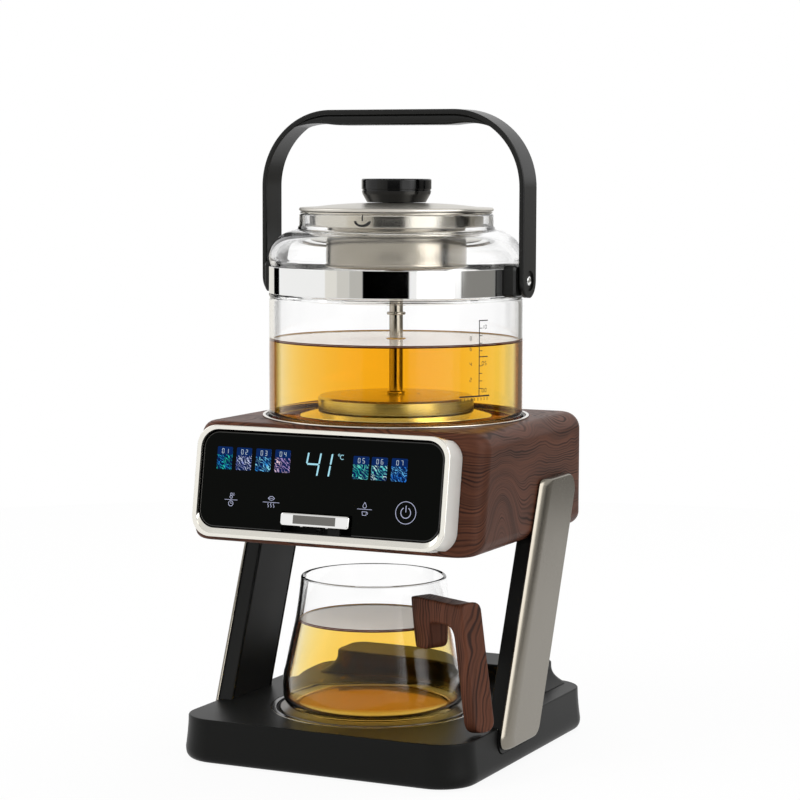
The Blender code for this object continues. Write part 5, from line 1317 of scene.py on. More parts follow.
def make_tiles():
    places = [(x, below_top(TILE_LEFT_TOP)) for x in TILE_LEFT_PLACES]
    places += [(x, below_top(TILE_RIGHT_TOP)) for x in TILE_RIGHT_PLACES]
    heads, figures = [], []
    for index, (left, top) in enumerate(places):
        near, far = TILE_STROKES[index]
        tile = f"tile_{index}"
        look = bpy.data.materials.get(tile) or material(tile, picture_tile, TILE_SKY, near, far, index * 0.37)
        head = TILE_HEIGHT * TILE_HEAD_SHARE
        middle = (left + TILE_WIDTH / 2, top - TILE_HEIGHT / 2)
        outline = [(x + middle[0], y + middle[1])
                   for x, y in rounded_rectangle(TILE_WIDTH / 2, TILE_HEIGHT / 2, 0.0007, 4)]
        body = prism(f"display_tile_{index}", outline, mark_base(), mark_base() + MARK_THICK, look)
        set_in(to_panel(body), "stand", "display_black")
        lift = MARK_THICK * 1.2
        header = [(x + middle[0], y + top - head / 2)
                  for x, y in rounded_rectangle(TILE_WIDTH / 2, head / 2, 0.0007, 4)]
        heads.append(prism("head", header, mark_base() + lift, mark_base() + lift + MARK_THICK))
        for shift, figure in ((-0.0019, "0"), (0.0009, str(index + 1))):
            pieces = digit(figure, middle[0] + shift, top - head + 0.0009, 0.0012, 0.0026, 0.00024)
            for piece in pieces:
                piece.data.transform(Matrix.Translation((0, 0, lift * 2)))
            figures += pieces
    show_marks("tile_heads", heads, "tile_head")
    show_marks("tile_figures", figures, "tile_marks")


def make_digits():
    bottom = below_top(0.0238)
    figures = digit("4", -0.0098, bottom, 0.0078, 0.0134, 0.00098, 0.14)
    figures += digit("1", -0.0015, bottom, 0.0068, 0.0134, 0.00098, 0.14)
    degree = (0.0113, below_top(0.0111))
    figures += ring_mark(degree, 0.00055, 0.00026, steps=20)
    figures += ring_mark((0.0134, below_top(0.0122)), 0.00125, 0.00034, 50, 310, 20)
    show_marks("temperature_digits", figures, "display_digits")


def make_keys():
    marks = thermometer_mark((-0.0560, below_top(0.0379))) + clock_mark((-0.0560, below_top(0.0424)))
    marks += stroke([(-0.0600, below_top(0.0403)), (-0.0520, below_top(0.0403))], 0.00026)
    marks += leaf_mark((-0.0298, below_top(0.0380))) + steam_mark((-0.0298, below_top(0.0420)))
    marks += stroke([(-0.0350, below_top(0.0403)), (-0.0246, below_top(0.0403))], 0.00026)
    marks += drop_mark((0.0296, below_top(0.0384))) + cup_mark((0.0296, below_top(0.0430)))
    marks += stroke([(0.0252, below_top(0.0406)), (0.0340, below_top(0.0406))], 0.00026)
    centre = (0.0552, below_top(0.0410))
    marks += ring_mark(centre, 0.0062, 0.00034, steps=72)
    marks += ring_mark(centre, 0.0030, 0.00042, 120, 420, 40)
    marks += stroke([(centre[0], centre[1] + 0.0005), (centre[0], centre[1] + 0.0038)], 0.00042)
    show_marks("key_marks", marks, "display_marks")


def thermometer_mark(place):
    x, y = place
    bulb = ring_mark((x, y - 0.0008), 0.0008, 0.0003, steps=20)
    sides = stroke([(x - 0.0005, y - 0.0002), (x - 0.0005, y + 0.0014), (x + 0.0005, y + 0.0014),
                    (x + 0.0005, y - 0.0002)], 0.00026)
    ticks = [piece for step in range(3) for piece in stroke([
        (x + 0.0012, y + 0.0002 + step * 0.0006), (x + 0.0019, y + 0.0002 + step * 0.0006)], 0.00022)]
    return bulb + sides + ticks


def clock_mark(place):
    x, y = place
    return (ring_mark(place, 0.0015, 0.0003, steps=28)
            + stroke([(x, y + 0.0009), (x, y), (x + 0.0007, y)], 0.00026))


def leaf_mark(place):
    x, y = place
    upper = arc((x, y - 0.0009), (0.0021, 0.0020), 25, 155, 14)
    lower = arc((x, y + 0.0009), (0.0021, 0.0020), 205, 335, 14)
    return (stroke(upper, 0.00028) + stroke(lower, 0.00028)
            + stroke([(x - 0.0022, y), (x + 0.0010, y)], 0.00022))


def steam_mark(place):
    x, y = place
    pieces = []
    for shift in (-0.0018, 0.0, 0.0018):
        wave = [(x + shift + 0.0003 * math.sin(FULL_TURN * step / 8), y - 0.0011 + 0.0022 * step / 8)
                for step in range(9)]
        pieces += stroke(wave, 0.00028)
    return pieces


def drop_mark(place):
    x, y = place
    body = arc((x, y - 0.0004), (0.0011, 0.0011), 150, 390, 20)
    return stroke([*body, (x, y + 0.0017)], 0.00028, closed=True)


def cup_mark(place):
    x, y = place
    body = [(x - 0.0014, y + 0.0010), (x - 0.0011, y - 0.0010), (x + 0.0011, y - 0.0010),
            (x + 0.0014, y + 0.0010)]
    return (stroke(body, 0.00028, closed=True)
            + ring_mark((x + 0.0016, y + 0.0002), 0.0006, 0.00024, -90, 90, 12))


# Pot seat


def make_seat():
    low, high = corners("pot_seat_ring")
    outer, inner = radius_of("pot_seat_ring"), SEAT_HOLE - GAP - 0.0013
    sleeve = SEAT_HOLE - GAP
    ledge = inner - 0.007
    throat = sleeve + 0.0004
    profile = filleted([(throat, high.z, 0.0003), (outer, high.z, 0.0004), (outer, HEAD_HIGH.z + GAP),
                        (throat, HEAD_HIGH.z + GAP)], 4)
    rim = turned("rim", profile, POT_AXIS, finish("steel_polished"))
    sink = high.z - 0.0009
    profile = filleted([(inner, sink, 0.0004), (throat - 0.0001, sink), (throat - 0.0001, HEAD_HIGH.z + GAP),
                        (sleeve, HEAD_HIGH.z), (sleeve, low.z), (ledge, low.z), (ledge, low.z + 0.002),
                        (inner, low.z + 0.002)], 4)
    well = turned("well", profile, POT_AXIS, finish("black_satin"))
    set_in(joined("seat_ring", [rim, well]), "stand", "chrome", "pot_seat_ring")
    low, high = corners("heater_plate")
    radius = radius_of("heater_plate")
    rim = 0.0012
    profile = [(0, high.z - GAP)] + arc((radius - rim, high.z - rim), (rim, rim), 90, 0, EDGE_STEPS)
    profile += [(radius, high.z - 0.003), (ledge - GAP, high.z - 0.003), (ledge - GAP, low.z), (0, low.z)]
    set_in(turned("heater", profile, POT_AXIS, finish("heater_aluminium")), "stand", "heater_aluminium",
           "heater_plate")


# Pot

SHOULDER_Z = 0.292
NECK_Z = 0.3095
HEEL_RADIUS = 0.005
BAND_BEAD = 0.0005
SCALE_TURN = math.radians(-25.5)
# Tea seems to reach the outside of the wall, so it starts just inside that
POT_TEA_RADIUS = POT_RADIUS - 0.0006
TEA_GAP = 0.00012


def make_pot():
    make_pot_glass()
    make_band()
    make_floor_plate()
    make_scale()
    for side, word in ((-1, "left"), (1, "right")):
        make_lug(side, word)
        make_pin(side, word)


def make_pot_glass():
    radius, widest = POT_RADIUS, radius_of("glass_body")
    inner = radius - POT_WALL
    neck, neck_inner = POT_NECK_RADIUS, POT_NECK_RADIUS - POT_WALL
    band_low, band_high = corners("steel_band")
    bead = 0.0009
    floor, inner_floor = POT_FLOOR_Z, POT_FLOOR_Z + POT_WALL
    lip = POT_WALL / 2
    shoulder = arc((neck - 0.001, SHOULDER_Z), (widest - neck + 0.001, NECK_Z - SHOULDER_Z), 0, 82, 20)
    outer = [(0, floor)] + arc((radius - HEEL_RADIUS, floor + HEEL_RADIUS), (HEEL_RADIUS,) * 2, -90, 0, 8)
    outer += [(radius, band_low.z - 0.0040), (radius - BAND_BEAD, band_low.z - 0.0032),
              (radius - BAND_BEAD, band_low.z - 0.0026), (radius + BAND_BEAD / 3, band_low.z - 0.0018),
              (radius + BAND_BEAD / 3, band_low.z - 0.0008), (POT_BAND_SEAT, band_low.z - 0.0003),
              (POT_BAND_SEAT, band_high.z + 0.0003)]
    outer += shoulder
    outer += [(neck + bead, NECK_Z + 0.0004), (neck + bead, NECK_Z + 0.0014), (neck, NECK_Z + 0.0024)]
    outer += arc((neck - lip, POT_LIP_Z - lip), (lip, lip), 0, 180, 10)
    shoulder_in = arc(
        (neck_inner - 0.001, SHOULDER_Z - 0.001),
        (widest - POT_WALL - neck_inner + 0.001, NECK_Z - SHOULDER_Z - POT_WALL * 0.7), 84, 0, 20)
    inside = [(neck_inner, NECK_Z)] + shoulder_in + [
        (POT_BAND_SEAT - POT_WALL, band_high.z - 0.002), (POT_BAND_SEAT - POT_WALL, band_low.z - 0.002),
        (inner, band_low.z - 0.006)]
    inside += arc((inner - HEEL_RADIUS, inner_floor + HEEL_RADIUS), (HEEL_RADIUS,) * 2, 0, -90, 8)
    inside += [(0, inner_floor)]
    set_in(turned("pot_glass", outer + inside, POT_AXIS, finish("clear_glass"), 192, math.radians(60)), "pot",
           "clear_glass", "glass_body")


def make_band():
    low, high = corners("steel_band")
    outer = radius_of("steel_band")
    inner = POT_BAND_SEAT + GAP
    set_in(turned("mirror_band", filleted([
        (inner, high.z), (outer, high.z, 0.0002), (outer, low.z, 0.0002), (inner, low.z)], 3),
        POT_AXIS, finish("chrome"), 240), "pot", "chrome", "steel_band")


def make_floor_plate():
    low, high = corners("pot_floor_plate")
    outer, thick = radius_of("pot_floor_plate"), 0.0012
    inner = radius_of("pump_dome") + 0.0002
    profile = filleted([
        (inner - thick, high.z), (inner, high.z, 0.0004), (outer - 0.0006, low.z + 0.0012, 0.0006),
        (outer, low.z, 0.0002), (outer - thick * 2, low.z), (inner - thick, high.z - thick)], 4)
    set_in(turned("floor_plate", profile, POT_AXIS, finish("steel_polished")), "pot", "steel",
           "pot_floor_plate")


def make_lug(side, word):
    low, high = corners("right_lug")
    middle = (low + high) / 2
    seat = radius_of("steel_band") + GAP
    half_length = 0.0135
    outline = rounded_rectangle(half_length, (high.z - low.z) / 2, 0.003, 6)
    rings = [[(side * x, y + middle.y, z + middle.z) for y, z in outline]
             for x in (seat - 0.005, high.x - 0.0012)]
    rings.append([(side * high.x, y * 0.92 + middle.y, z * 0.9 + middle.z) for y, z in outline])
    lug = loft("block", rings, finish("black_satin"))
    cutter = rod("seat", seat, (0, POT_Y, low.z - OVERRUN), (0, POT_Y, high.z + OVERRUN), steps=TURN_STEPS)
    combined(lug, [cutter])
    lug.name = f"{word}_bail_lug"
    set_in(lug, "pot", "black_plastic", f"{word}_lug")


def make_pin(side, word):
    low, high = corners("right_pivot_pin")
    middle = (low + high) / 2
    head = (high.z - low.z) / 2
    shank = head * 0.6
    pin = rod("shank", shank, (side * low.x, middle.y, middle.z),
              (side * (high.x - 0.0009), middle.y, middle.z), finish("black_satin"))
    crown = turned("crown", filleted([
        (0, -0.0002), (shank * 0.55, -0.0002), (shank * 0.75, 0.0, 0.0003), (shank, -0.0003, 0.0003),
        (shank, -0.001), (0, -0.001)], 4, False), (0, 0, 0), finish("chrome"), SMALL_TURN_STEPS)
    crown.data.transform(Matrix.Translation((side * high.x, middle.y, middle.z))
                         @ Matrix.Rotation(side * RIGHT_ANGLE, 4, "Y"))
    set_in(joined(f"{word}_pin", [pin, crown]), "pot", "steel", f"{word}_pivot_pin")


def make_scale():
    """Plain litre marks printed on the outside of the glass."""
    foot, middle, top = 0.2150, 0.2377, 0.2586
    line = 0.00058
    pieces = printed_line([(0, foot), (0, top)], line)
    pieces += printed_line([(0, top), (0.0064, top)], line)
    pieces += printed_line([(0, middle), (0.0064, middle)], line)
    pieces += printed_line([(-0.0135, foot), (0.0078, foot)], line * 1.5)
    for level in range(1, 10):
        height = foot + (top - foot) * level / 10
        if level != 5:
            pieces += printed_line([(0, height), (0.0022, height)], line * 0.7)
    for figure, height in (("8", 0.2475), ("6", 0.2416), ("4", 0.2326), ("2", 0.2236)):
        pieces += printed_figure(figure, -0.0068, height)
    for text, height in (("10", 0.2538), ("05", 0.2328), ("00", 0.2172)):
        for index, figure in enumerate(text):
            pieces += printed_figure(figure, 0.0022 + index * 0.0022, height)
    for index in range(9):
        x = -0.0128 + index * 0.0024
        pieces += printed_line([(x, foot - 0.0010), (x, foot - 0.0024)], line * 0.6)
    set_in(joined("pot_scale", pieces), "pot", "clear_glass")


def printed_figure(figure, left, bottom):
    width, height = 0.0012, 0.0021
    pieces = digit(figure, left, bottom, width, height, 0.0003)
    return [wrapped(piece) for piece in pieces]


def printed_line(points, width):
    return [wrapped(piece) for piece in stroke(points, width)]


def wrapped(piece):
    """Wrap a flat mark round the pot; its height above the panel becomes its height on the glass."""
    bm = bmesh.new()
    bm.from_mesh(piece.data)
    long_edges = [edge for edge in bm.edges if edge.calc_length() > 0.003]
    bmesh.ops.subdivide_edges(bm, edges=long_edges, cuts=10, use_grid_fill=True)
    for vert in bm.verts:
        outward = POT_RADIUS + 0.00006 + (vert.co.z - mark_base())
        turn = SCALE_TURN + vert.co.x / POT_RADIUS
        vert.co = (outward * math.cos(turn), POT_Y + outward * math.sin(turn), vert.co.y)
    bm.to_mesh(piece.data)
    bm.free()
    piece.data.materials.append(finish("scale_paint"))
    return piece


def make_tea():
    make_pot_tea()
    make_cup_tea()


def make_pot_tea():
    level = sizes().tea_level
    inner = POT_TEA_RADIUS
    floor = POT_FLOOR_Z + POT_WALL + TEA_GAP
    profile = [(0, floor)] + arc((inner - HEEL_RADIUS, floor + HEEL_RADIUS), (HEEL_RADIUS,) * 2, -90, 0, 8)
    profile += [(inner, level), (0, level)]
    set_in(turned("pot_tea", profile, POT_AXIS, finish("pot_tea")), "pot", "clear_glass")
    make_surface("pot_tea_surface", inner, level, POT_AXIS, "pot")
    make_meniscus("pot_tea_line", inner, level, POT_AXIS, "pot")
    # A golden bead round the riser at the tea's level: painted light
    set_in(turned("riser_tea_line", arc((0.0046, level + 0.0001), (0.0014, 0.0007), 0, 360, 12)[:-1],
                  POT_AXIS, finish("meniscus_gold"), SMALL_TURN_STEPS), "pot", "clear_glass")


def make_cup_tea():
    level = sizes().cup_level
    outline = [point for point in cup_inner_profile(TEA_GAP) if point[1] < level]
    radius = cup_radius(level) - CUP_WALL - TEA_GAP
    profile = [(0, outline[-1][1])] + list(reversed(outline)) + [(radius, level), (0, level)]
    set_in(turned("cup_tea", profile, CUP_AXIS, finish("cup_tea")), "cup", "clear_glass")
    make_surface("cup_tea_surface", radius, level, CUP_AXIS, "cup")
    make_meniscus("cup_tea_line", radius, level, CUP_AXIS, "cup")


# A thin disc over the tea that carries the painted reflection of its surface
def make_surface(name, radius, level, axis, body):
    thick = 0.0001
    set_in(turned(name, [
        (0, level + thick * 2), (radius, level + thick * 2), (radius, level + thick), (0, level + thick)],
        axis, finish("tea_surface")), body, "clear_glass")


def make_meniscus(name, radius, level, axis, body):
    """A thin bead at the glass, with painted shade on the side that faces the glass and painted golden light on
    the other.
    """
    half_wide, half_tall = 0.0005, 0.0008
    bead = turned(name, arc((radius - half_wide, level), (half_wide, half_tall), 0, 360, 12)[:-1], axis,
                  finish("meniscus"))
    add_finish(bead, "meniscus_gold", lambda face: reach_from(axis, face.center) < radius - half_wide)
    set_in(bead, body, "clear_glass")


# Bail


BAIL_CORNER = 0.046
BAIL_THICK = 0.0035
BAIL_EDGE = 0.0009


def make_bail():
    low, high = corners("bail_strap")
    half, width = (high.y - low.y) / 2, high.x
    middle = (high.y + low.y) / 2
    pivot = centre_of("right_pivot_pin").z
    path = []
    for step in range(10):
        angle = math.radians(84) * (1 - step / 10)
        path.append(((width, pivot - half * math.sin(angle)), (1, 0), half * math.cos(angle)))
    for share in (0.0, 0.25, 0.5, 0.75):
        path.append(((width, pivot + (high.z - BAIL_CORNER - pivot) * share), (1, 0), half))
    for step in range(33):
        angle = RIGHT_ANGLE * step / 32
        normal = (math.cos(angle), math.sin(angle))
        path.append(((width - BAIL_CORNER + BAIL_CORNER * normal[0],
                      high.z - BAIL_CORNER + BAIL_CORNER * normal[1]), normal, half))
    right = [strap_section(place, normal, reach, middle) for place, normal, reach in path]
    left = [[(-x, y, z) for x, y, z in ring] for ring in reversed(right)]
    strap = loft("bail", right + left, finish("black_satin"))
    tools = [rod("recess", 0.006, (side * (width - 0.0012), middle, pivot),
                 (side * (width + OVERRUN), middle, pivot))
             for side in (-1, 1)]
    combined(strap, tools)
    set_in(strap, "bail", "black_plastic", "bail_strap")
    make_grip()


def strap_section(place, normal, reach, middle):
    """A strap section with round edges, at a place on the outer line."""
    edge = min(BAIL_EDGE, reach / 3)
    outline = rounded_rectangle(reach, BAIL_THICK / 2, edge, 4)
    crown = 0.0003
    ring = []
    for across, depth in outline:
        bulge = crown * (1 - (across / max(reach, MERGE)) ** 2) - crown if depth > 0 else 0
        inward = BAIL_THICK / 2 - depth - bulge
        ring.append((place[0] - normal[0] * inward, middle + across, place[1] - normal[1] * inward))
    return ring


def make_grip():
    """The strap's inside swells under the palm and fades out along its bends."""
    strap_high = corners("bail_strap")[1]
    low, high = corners("bail_grip")
    middle, reach = (low.y + high.y) / 2, (high.y - low.y) / 2 + 0.0006
    straight = strap_high.x - BAIL_CORNER
    inside = strap_high.z - BAIL_THICK + GAP
    deep = high.z - low.z
    bend = BAIL_CORNER - BAIL_THICK + GAP
    rings = []
    steps = 48
    for step in range(steps + 1):
        share = -1 + 2 * step / steps
        run = (straight + bend * math.radians(34)) * abs(share)
        full = max(1 - (max(run - straight * 0.86, 0) / (bend * math.radians(34) + straight * 0.14)) ** 1.6,
                   0.03)
        turn = max(run - straight, 0) / bend
        flat = min(run, straight)
        sign = 1 if share >= 0 else -1
        thick = deep * full
        outline = rounded_rectangle(reach, thick / 2, min(thick * 0.45, 0.0020), 4)
        ring = []
        for across, rise in outline:
            radius = bend - thick / 2 + rise
            ring.append((sign * (flat + radius * math.sin(turn)), middle + across,
                         inside - bend + radius * math.cos(turn)))
        rings.append(ring)
    set_in(loft("grip", rings, finish("black_satin")), "bail", "black_plastic", "bail_grip")


# Brewer


def make_brewer():
    make_dome()
    make_riser()
    make_strainer()


def make_dome():
    low, high = corners("pump_dome")
    radius, wall = radius_of("pump_dome"), 0.0012
    edge_z = low.z + 0.0087
    crown = high.z - edge_z
    hole = 0.0044
    steps = 12
    top = []
    for step in range(steps + 1):
        share = step / steps
        top.append((hole + (radius - 0.0012 - hole) * share, high.z - crown * share ** 2.2))
    profile = top + [(radius, edge_z - 0.0012), (radius, low.z + 0.0003), (radius - wall / 2, low.z),
                     (radius - wall, low.z)]
    profile += [(max(r - wall / 2, hole), z - wall) for r, z in reversed(top)]
    dome = turned("steam_dome", profile, POT_AXIS, finish("steel"))
    slots = []
    for turn, share in ((-92, 0.29), (28, 0.29), (148, 0.29)):
        slot = block("slot", (-0.0036, -0.0007, -0.006), (0.0036, 0.0007, 0.004), None, 0.0003)
        reach, angle = radius * share, math.radians(turn)
        slot.matrix_world = (Matrix.Translation((
            reach * math.cos(angle), POT_Y + reach * math.sin(angle), high.z))
            @ Matrix.Rotation(angle + RIGHT_ANGLE, 4, "Z"))
        slots.append(slot)
    bpy.context.view_layer.update()
    combined(dome, slots)
    set_in(dome, "brewer", "steel", "pump_dome")


def make_riser():
    low, high = corners("riser_tube")
    collar, radius, wall = radius_of("riser_tube"), 0.0041, 0.0009
    foot = corners("pump_dome")[1].z + GAP
    profile = filleted([
        (radius, high.z), (radius, foot + 0.0016, 0.0004), (collar, foot + 0.0014, 0.0004),
        (collar, foot, 0.0003), (radius, foot), (radius, low.z), (radius - wall, low.z),
        (radius - wall, high.z)], 4)
    set_in(turned("riser", profile, POT_AXIS, finish("riser_steel"), SMALL_TURN_STEPS), "brewer", "steel",
           "riser_tube")
    low, high = corners("riser_lock_ring")
    outer = radius_of("riser_lock_ring")
    set_in(turned("lock_ring", filleted([
        (radius + GAP, high.z), (outer, high.z, 0.0005), (outer, low.z, 0.0005), (radius + GAP, low.z)], 5),
        POT_AXIS, finish("riser_steel"), SMALL_TURN_STEPS), "brewer", "steel", "riser_lock_ring")
    low, high = corners("spray_cap")
    outer = radius_of("spray_cap")
    set_in(turned("spray_head", [(0, high.z)] + arc((outer - 0.002, high.z - 0.002), (0.002, 0.002), 90, 0, 6)
                  + [(outer, low.z), (outer - 0.0009, low.z), (outer - 0.0009, high.z - 0.0026),
                     (0, high.z - 0.0026)],
                  POT_AXIS, finish("steel"), SMALL_TURN_STEPS), "brewer", "steel", "spray_cap")


def make_strainer():
    low, high = corners("strainer_basket")
    roll, wall = radius_of("strainer_basket"), 0.0009
    radius = roll - 0.0008
    bore = 0.0044
    bottom = arc((radius - 0.0018, low.z + 0.0026), (0.0026, 0.0026), 0, -90, 8)
    profile = [(radius, high.z), (radius, low.z + 0.0055), (roll - 0.0002, low.z + 0.0046)] + bottom
    profile += [(bore, low.z), (bore, low.z + wall), (radius - wall - 0.002, low.z + wall),
                (radius - wall, low.z + 0.003), (radius - wall, high.z)]
    set_in(turned("basket", profile, POT_AXIS, finish("perforated"), 192), "brewer", "steel",
           "strainer_basket")
    low, high = corners("strainer_collar")
    seat, outer = radius_of("strainer_collar"), 0.052
    profile = filleted([
        (seat, high.z, 0.0002), (seat, high.z - 0.0007), (outer, high.z - 0.0007, 0.0006),
        (outer, low.z, 0.0008), (radius - wall, low.z), (radius - wall, low.z + wall),
        (outer - wall, low.z + wall, 0.0004), (outer - wall, high.z, 0.0004)], 4)
    set_in(turned("collar", profile, POT_AXIS, finish("strainer_collar"), 192), "brewer", "steel",
           "strainer_collar")
    make_latch(low, high, outer)


def make_latch(low, high, outer):
    """A small dark thumb notch in the collar's front, with a seam above it."""
    turn = math.radians(-86.5)
    half, tall = 0.0052, 0.0036
    outline = [(half * math.cos(math.radians(angle)), low.z + 0.0052 + tall * math.sin(math.radians(angle)))
               for angle in range(180, 361, 12)]
    seam = [(-0.0004, low.z + 0.0052), (0.0004, low.z + 0.0052), (0.0004, high.z - 0.001),
            (-0.0004, high.z - 0.001)]
    pieces = []
    for points in (outline, seam):
        rings = []
        for depth in (-0.0004, 0.00012):
            rings.append([((outer + depth) * math.cos(turn + u / outer),
                           POT_Y + (outer + depth) * math.sin(turn + u / outer), z) for u, z in points])
        pieces.append(loft("notch", rings, finish("black_satin")))
    set_in(joined("collar_notch", pieces), "brewer", "steel")


# Lid


def make_lid():
    low, high = corners("lid_plate")
    radius = radius_of("lid_plate")
    edge_z, crown = 0.3215, high.z - 0.3215
    roll = 0.0011
    hole = 0.0043
    top = []
    for step in range(15):
        share = step / 14
        top.append((hole + (radius - 0.0028 - hole) * share,
                    edge_z + 0.0004 + (crown - 0.0004) * (1 - share ** 2.4)))
    profile = top + arc((radius - roll, low.z + roll), (roll, roll), 80, -90, 12)
    profile += [(0.052, low.z)] + [(r, z - 0.0012) for r, z in reversed(top) if r < 0.050]
    set_in(turned("lid", profile, POT_AXIS, finish("steel_lid"), 192), "lid", "steel", "lid_plate")
    low, high = corners("lid_gasket")
    outer, inner = radius_of("lid_gasket"), radius_of("lid_gasket") - 0.0022
    set_in(turned("lid_seal", filleted([
        (inner, high.z), (outer, high.z), (outer, low.z, 0.0006), (inner, low.z, 0.0006)], 4),
        POT_AXIS, finish("rubber")), "lid", "rubber", "lid_gasket")
    make_knob()


def make_knob():
    low, high = corners("lid_knob")
    radius, waist, stud = radius_of("lid_knob"), 0.0176, 0.004
    foot = corners("lid_plate")[1].z + GAP
    rim = high.z - 0.0062
    groove = 0.0005
    profile = [(0, high.z - 0.0006), (radius * 0.72, high.z - 0.0006)]
    profile += filleted([
        (radius * 0.8, high.z), (radius, high.z, 0.0009), (radius, rim, 0.0005),
        (radius - groove, rim - 0.0001), (radius - groove, rim - 0.0009),
        (radius - 0.0001, rim - 0.0010, 0.0003), (radius - 0.0006, rim - 0.0030, 0.0012),
        (waist, foot, 0.0004), (stud, foot), (stud, low.z), (0, low.z)], 5, False)
    set_in(turned("knob", profile, POT_AXIS, finish("black_knob"), 128), "lid", "black_plastic", "lid_knob")


# Cup

CUP_SIDE = ((0.1055, 0.0431), (0.0966, 0.0440), (0.0805, 0.0463), (0.0664, 0.0493), (0.0525, 0.0522),
            (0.0465, 0.0536), (0.0400, 0.0540), (0.0350, 0.0538))
CUP_HEEL_Z = 0.0350
CUP_FOOT_RADIUS = 0.0462


def cup_radius(z):
    """Outer radius of the cup's side at a height."""
    for (high, near), (low, far) in zip(CUP_SIDE, CUP_SIDE[1:]):
        if low <= z <= high:
            return near + (far - near) * (high - z) / (high - low)
    return CUP_SIDE[-1][1]


def cup_inner_profile(extra=0.0):
    """Inside of the cup from its rim to the middle of its floor."""
    inset = CUP_WALL + extra
    side = [(radius - inset, z) for z, radius in CUP_SIDE[:-1]]
    floor = CUP_FOOT_Z + 0.0021 + extra
    heel = CUP_SIDE[-1][0]
    width = CUP_SIDE[-1][1] - inset - CUP_FOOT_RADIUS + 0.002
    turn = arc((CUP_SIDE[-1][1] - inset - width, heel), (width, heel - floor), 0, -90, 10)
    return curve_through(side + [turn[0]], 6) + turn[1:] + [(0, floor + 0.0004)]


def make_cup():
    make_cup_glass()
    make_handle()


def make_cup_glass():
    side = [(radius, z) for z, radius in CUP_SIDE[:-1]]
    width = CUP_SIDE[-1][1] - CUP_FOOT_RADIUS
    turn = arc((CUP_FOOT_RADIUS, CUP_HEEL_Z), (width, CUP_HEEL_Z - CUP_FOOT_Z), 0, -90, 12)
    outer = curve_through(side + [turn[0]], 6) + turn[1:] + [(0, CUP_FOOT_Z + 0.0003)]
    lip = CUP_WALL / 2
    rim = arc((CUP_SIDE[0][1] - lip, CUP_RIM_Z - lip), (lip, lip), 180, 0, 8)
    inner = cup_inner_profile()
    profile = list(reversed(inner[1:])) + rim + outer[1:]
    set_in(turned("cup", profile, CUP_AXIS, finish("clear_glass"), 160, math.radians(60)), "cup",
           "clear_glass", "cup_glass")


def make_handle():
    half = 0.00775
    reach, thick = 0.0903, 0.010
    top, tip = 0.1015, 0.0290
    arm_top, arm_low = 0.0997, 0.0870
    peg_low, peg_depth = 0.0700, 0.0125

    def outer(z):
        return reach + (top - z) * math.tan(HANDLE_TILT)

    def inner(z):
        return outer(z) - thick / math.cos(HANDLE_TILT)

    def against(z):
        return cup_radius(z) + 0.0006

    deep = thick / 2
    steps = [arm_top + (peg_low - arm_top) * index / 8 for index in range(9)]
    outline = [(against(z), z) for z in steps]
    outline += filleted([
        (against(peg_low), peg_low), (against(peg_low) + peg_depth, peg_low, 0.0050),
        (against(peg_low) + peg_depth, arm_low, 0.0030), (inner(arm_low), arm_low, 0.0075),
        (inner(arm_low - 0.014), arm_low - 0.014), (inner(arm_low - 0.014) + deep, arm_low - 0.014),
        (inner(arm_top) + deep, arm_top), (against(arm_top), arm_top)], EDGE_STEPS)[EDGE_STEPS - 5:-1]
    rings = [[(r, y, z) for r, z in outline] for y in (-half + 0.0002, half - 0.0002)]
    arm = loft("arm", rings, finish("walnut_handle"))
    length = (top - tip) / math.cos(HANDLE_TILT)
    turn = Matrix.Rotation(-HANDLE_TILT, 4, "Y")
    place = Matrix.Translation(((outer(top) + outer(tip)) / 2, 0, (top + tip) / 2)) @ turn
    face = rounded_rectangle(half, length / 2, (0.0062, 0.0050, 0.0050, 0.0062), 8)
    bar = loft("bar", [[place @ Vector((depth, y, z)) for y, z in face] for depth in (-thick, 0)])
    combined(arm, [bar], "UNION")
    soft = arm.modifiers.new("even", "REMESH")
    soft.mode = "VOXEL"
    soft.voxel_size = 0.0005
    smooth = arm.modifiers.new("smooth", "SMOOTH")
    smooth.factor = 0.5
    smooth.iterations = 60
    applied(arm)
    arm.data.transform(Matrix.Translation((0, CUP_Y, 0)) @ Matrix.Rotation(HANDLE_TURN, 4, "Z"))
    arm.data.materials.clear()
    arm.data.materials.append(finish("walnut_handle"))
    arm.name = "wood_handle"
    set_in(arm, "cup", "walnut", "cup_handle")


def finish_kept_nodes():
    for name, look in KEPT_NODES.items():
        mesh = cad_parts[name].data
        mesh.materials.clear()
        mesh.materials.append(finish(look))


# Stage


CAMERA_PLACE = (0.63411, -1.32204, 0.34569)
CAMERA_AZIMUTH = math.radians(25.37)
CAMERA_DROP = math.radians(5.37)
CAMERA_ROLL = math.radians(0.17)
SUBJECT = Vector((0, 0, 0.19))
# What glossy surfaces show round the stage: start and end in degrees about Z, and tone
REFLECTED = ((-131, -119, 0.84), (-119, -107, 0.68), (-107, -94.7, 0.54), (-94.7, -53.2, 0.0),
             (-46, -12, 1.9),
             (-4.3, -2.7, 0.15), (-2.7, 34.9, 0.25), (34.9, 45.5, 0.01), (45.5, 100, 0.30), (122, 151, 0.85),
             (151, 164.5, 0.0))
STRIPE_SOFTNESS = 0.8
# Brighter patches of the surround: degrees about Z, height, half width in degrees, and level
PATCHES = ((-8, 26, 30, 4.2), (-165, 36, 18, 2.2), (-115, 54, 22, 0.74))
# Behind glass the stage is bright only near the line of sight, which draws its edges dark
BRIGHT_FIELD = (24, 36)


def make_stage():
    scene = bpy.context.scene
    scene.view_settings.view_transform = "Standard"
    scene.cycles.max_bounces = 20
    scene.cycles.transmission_bounces = 18
    scene.cycles.transparent_max_bounces = 24
    scene.cycles.glossy_bounces = 5
    scene.cycles.diffuse_bounces = 3
    make_floor()
    make_surround()
    make_lights()
    make_camera()


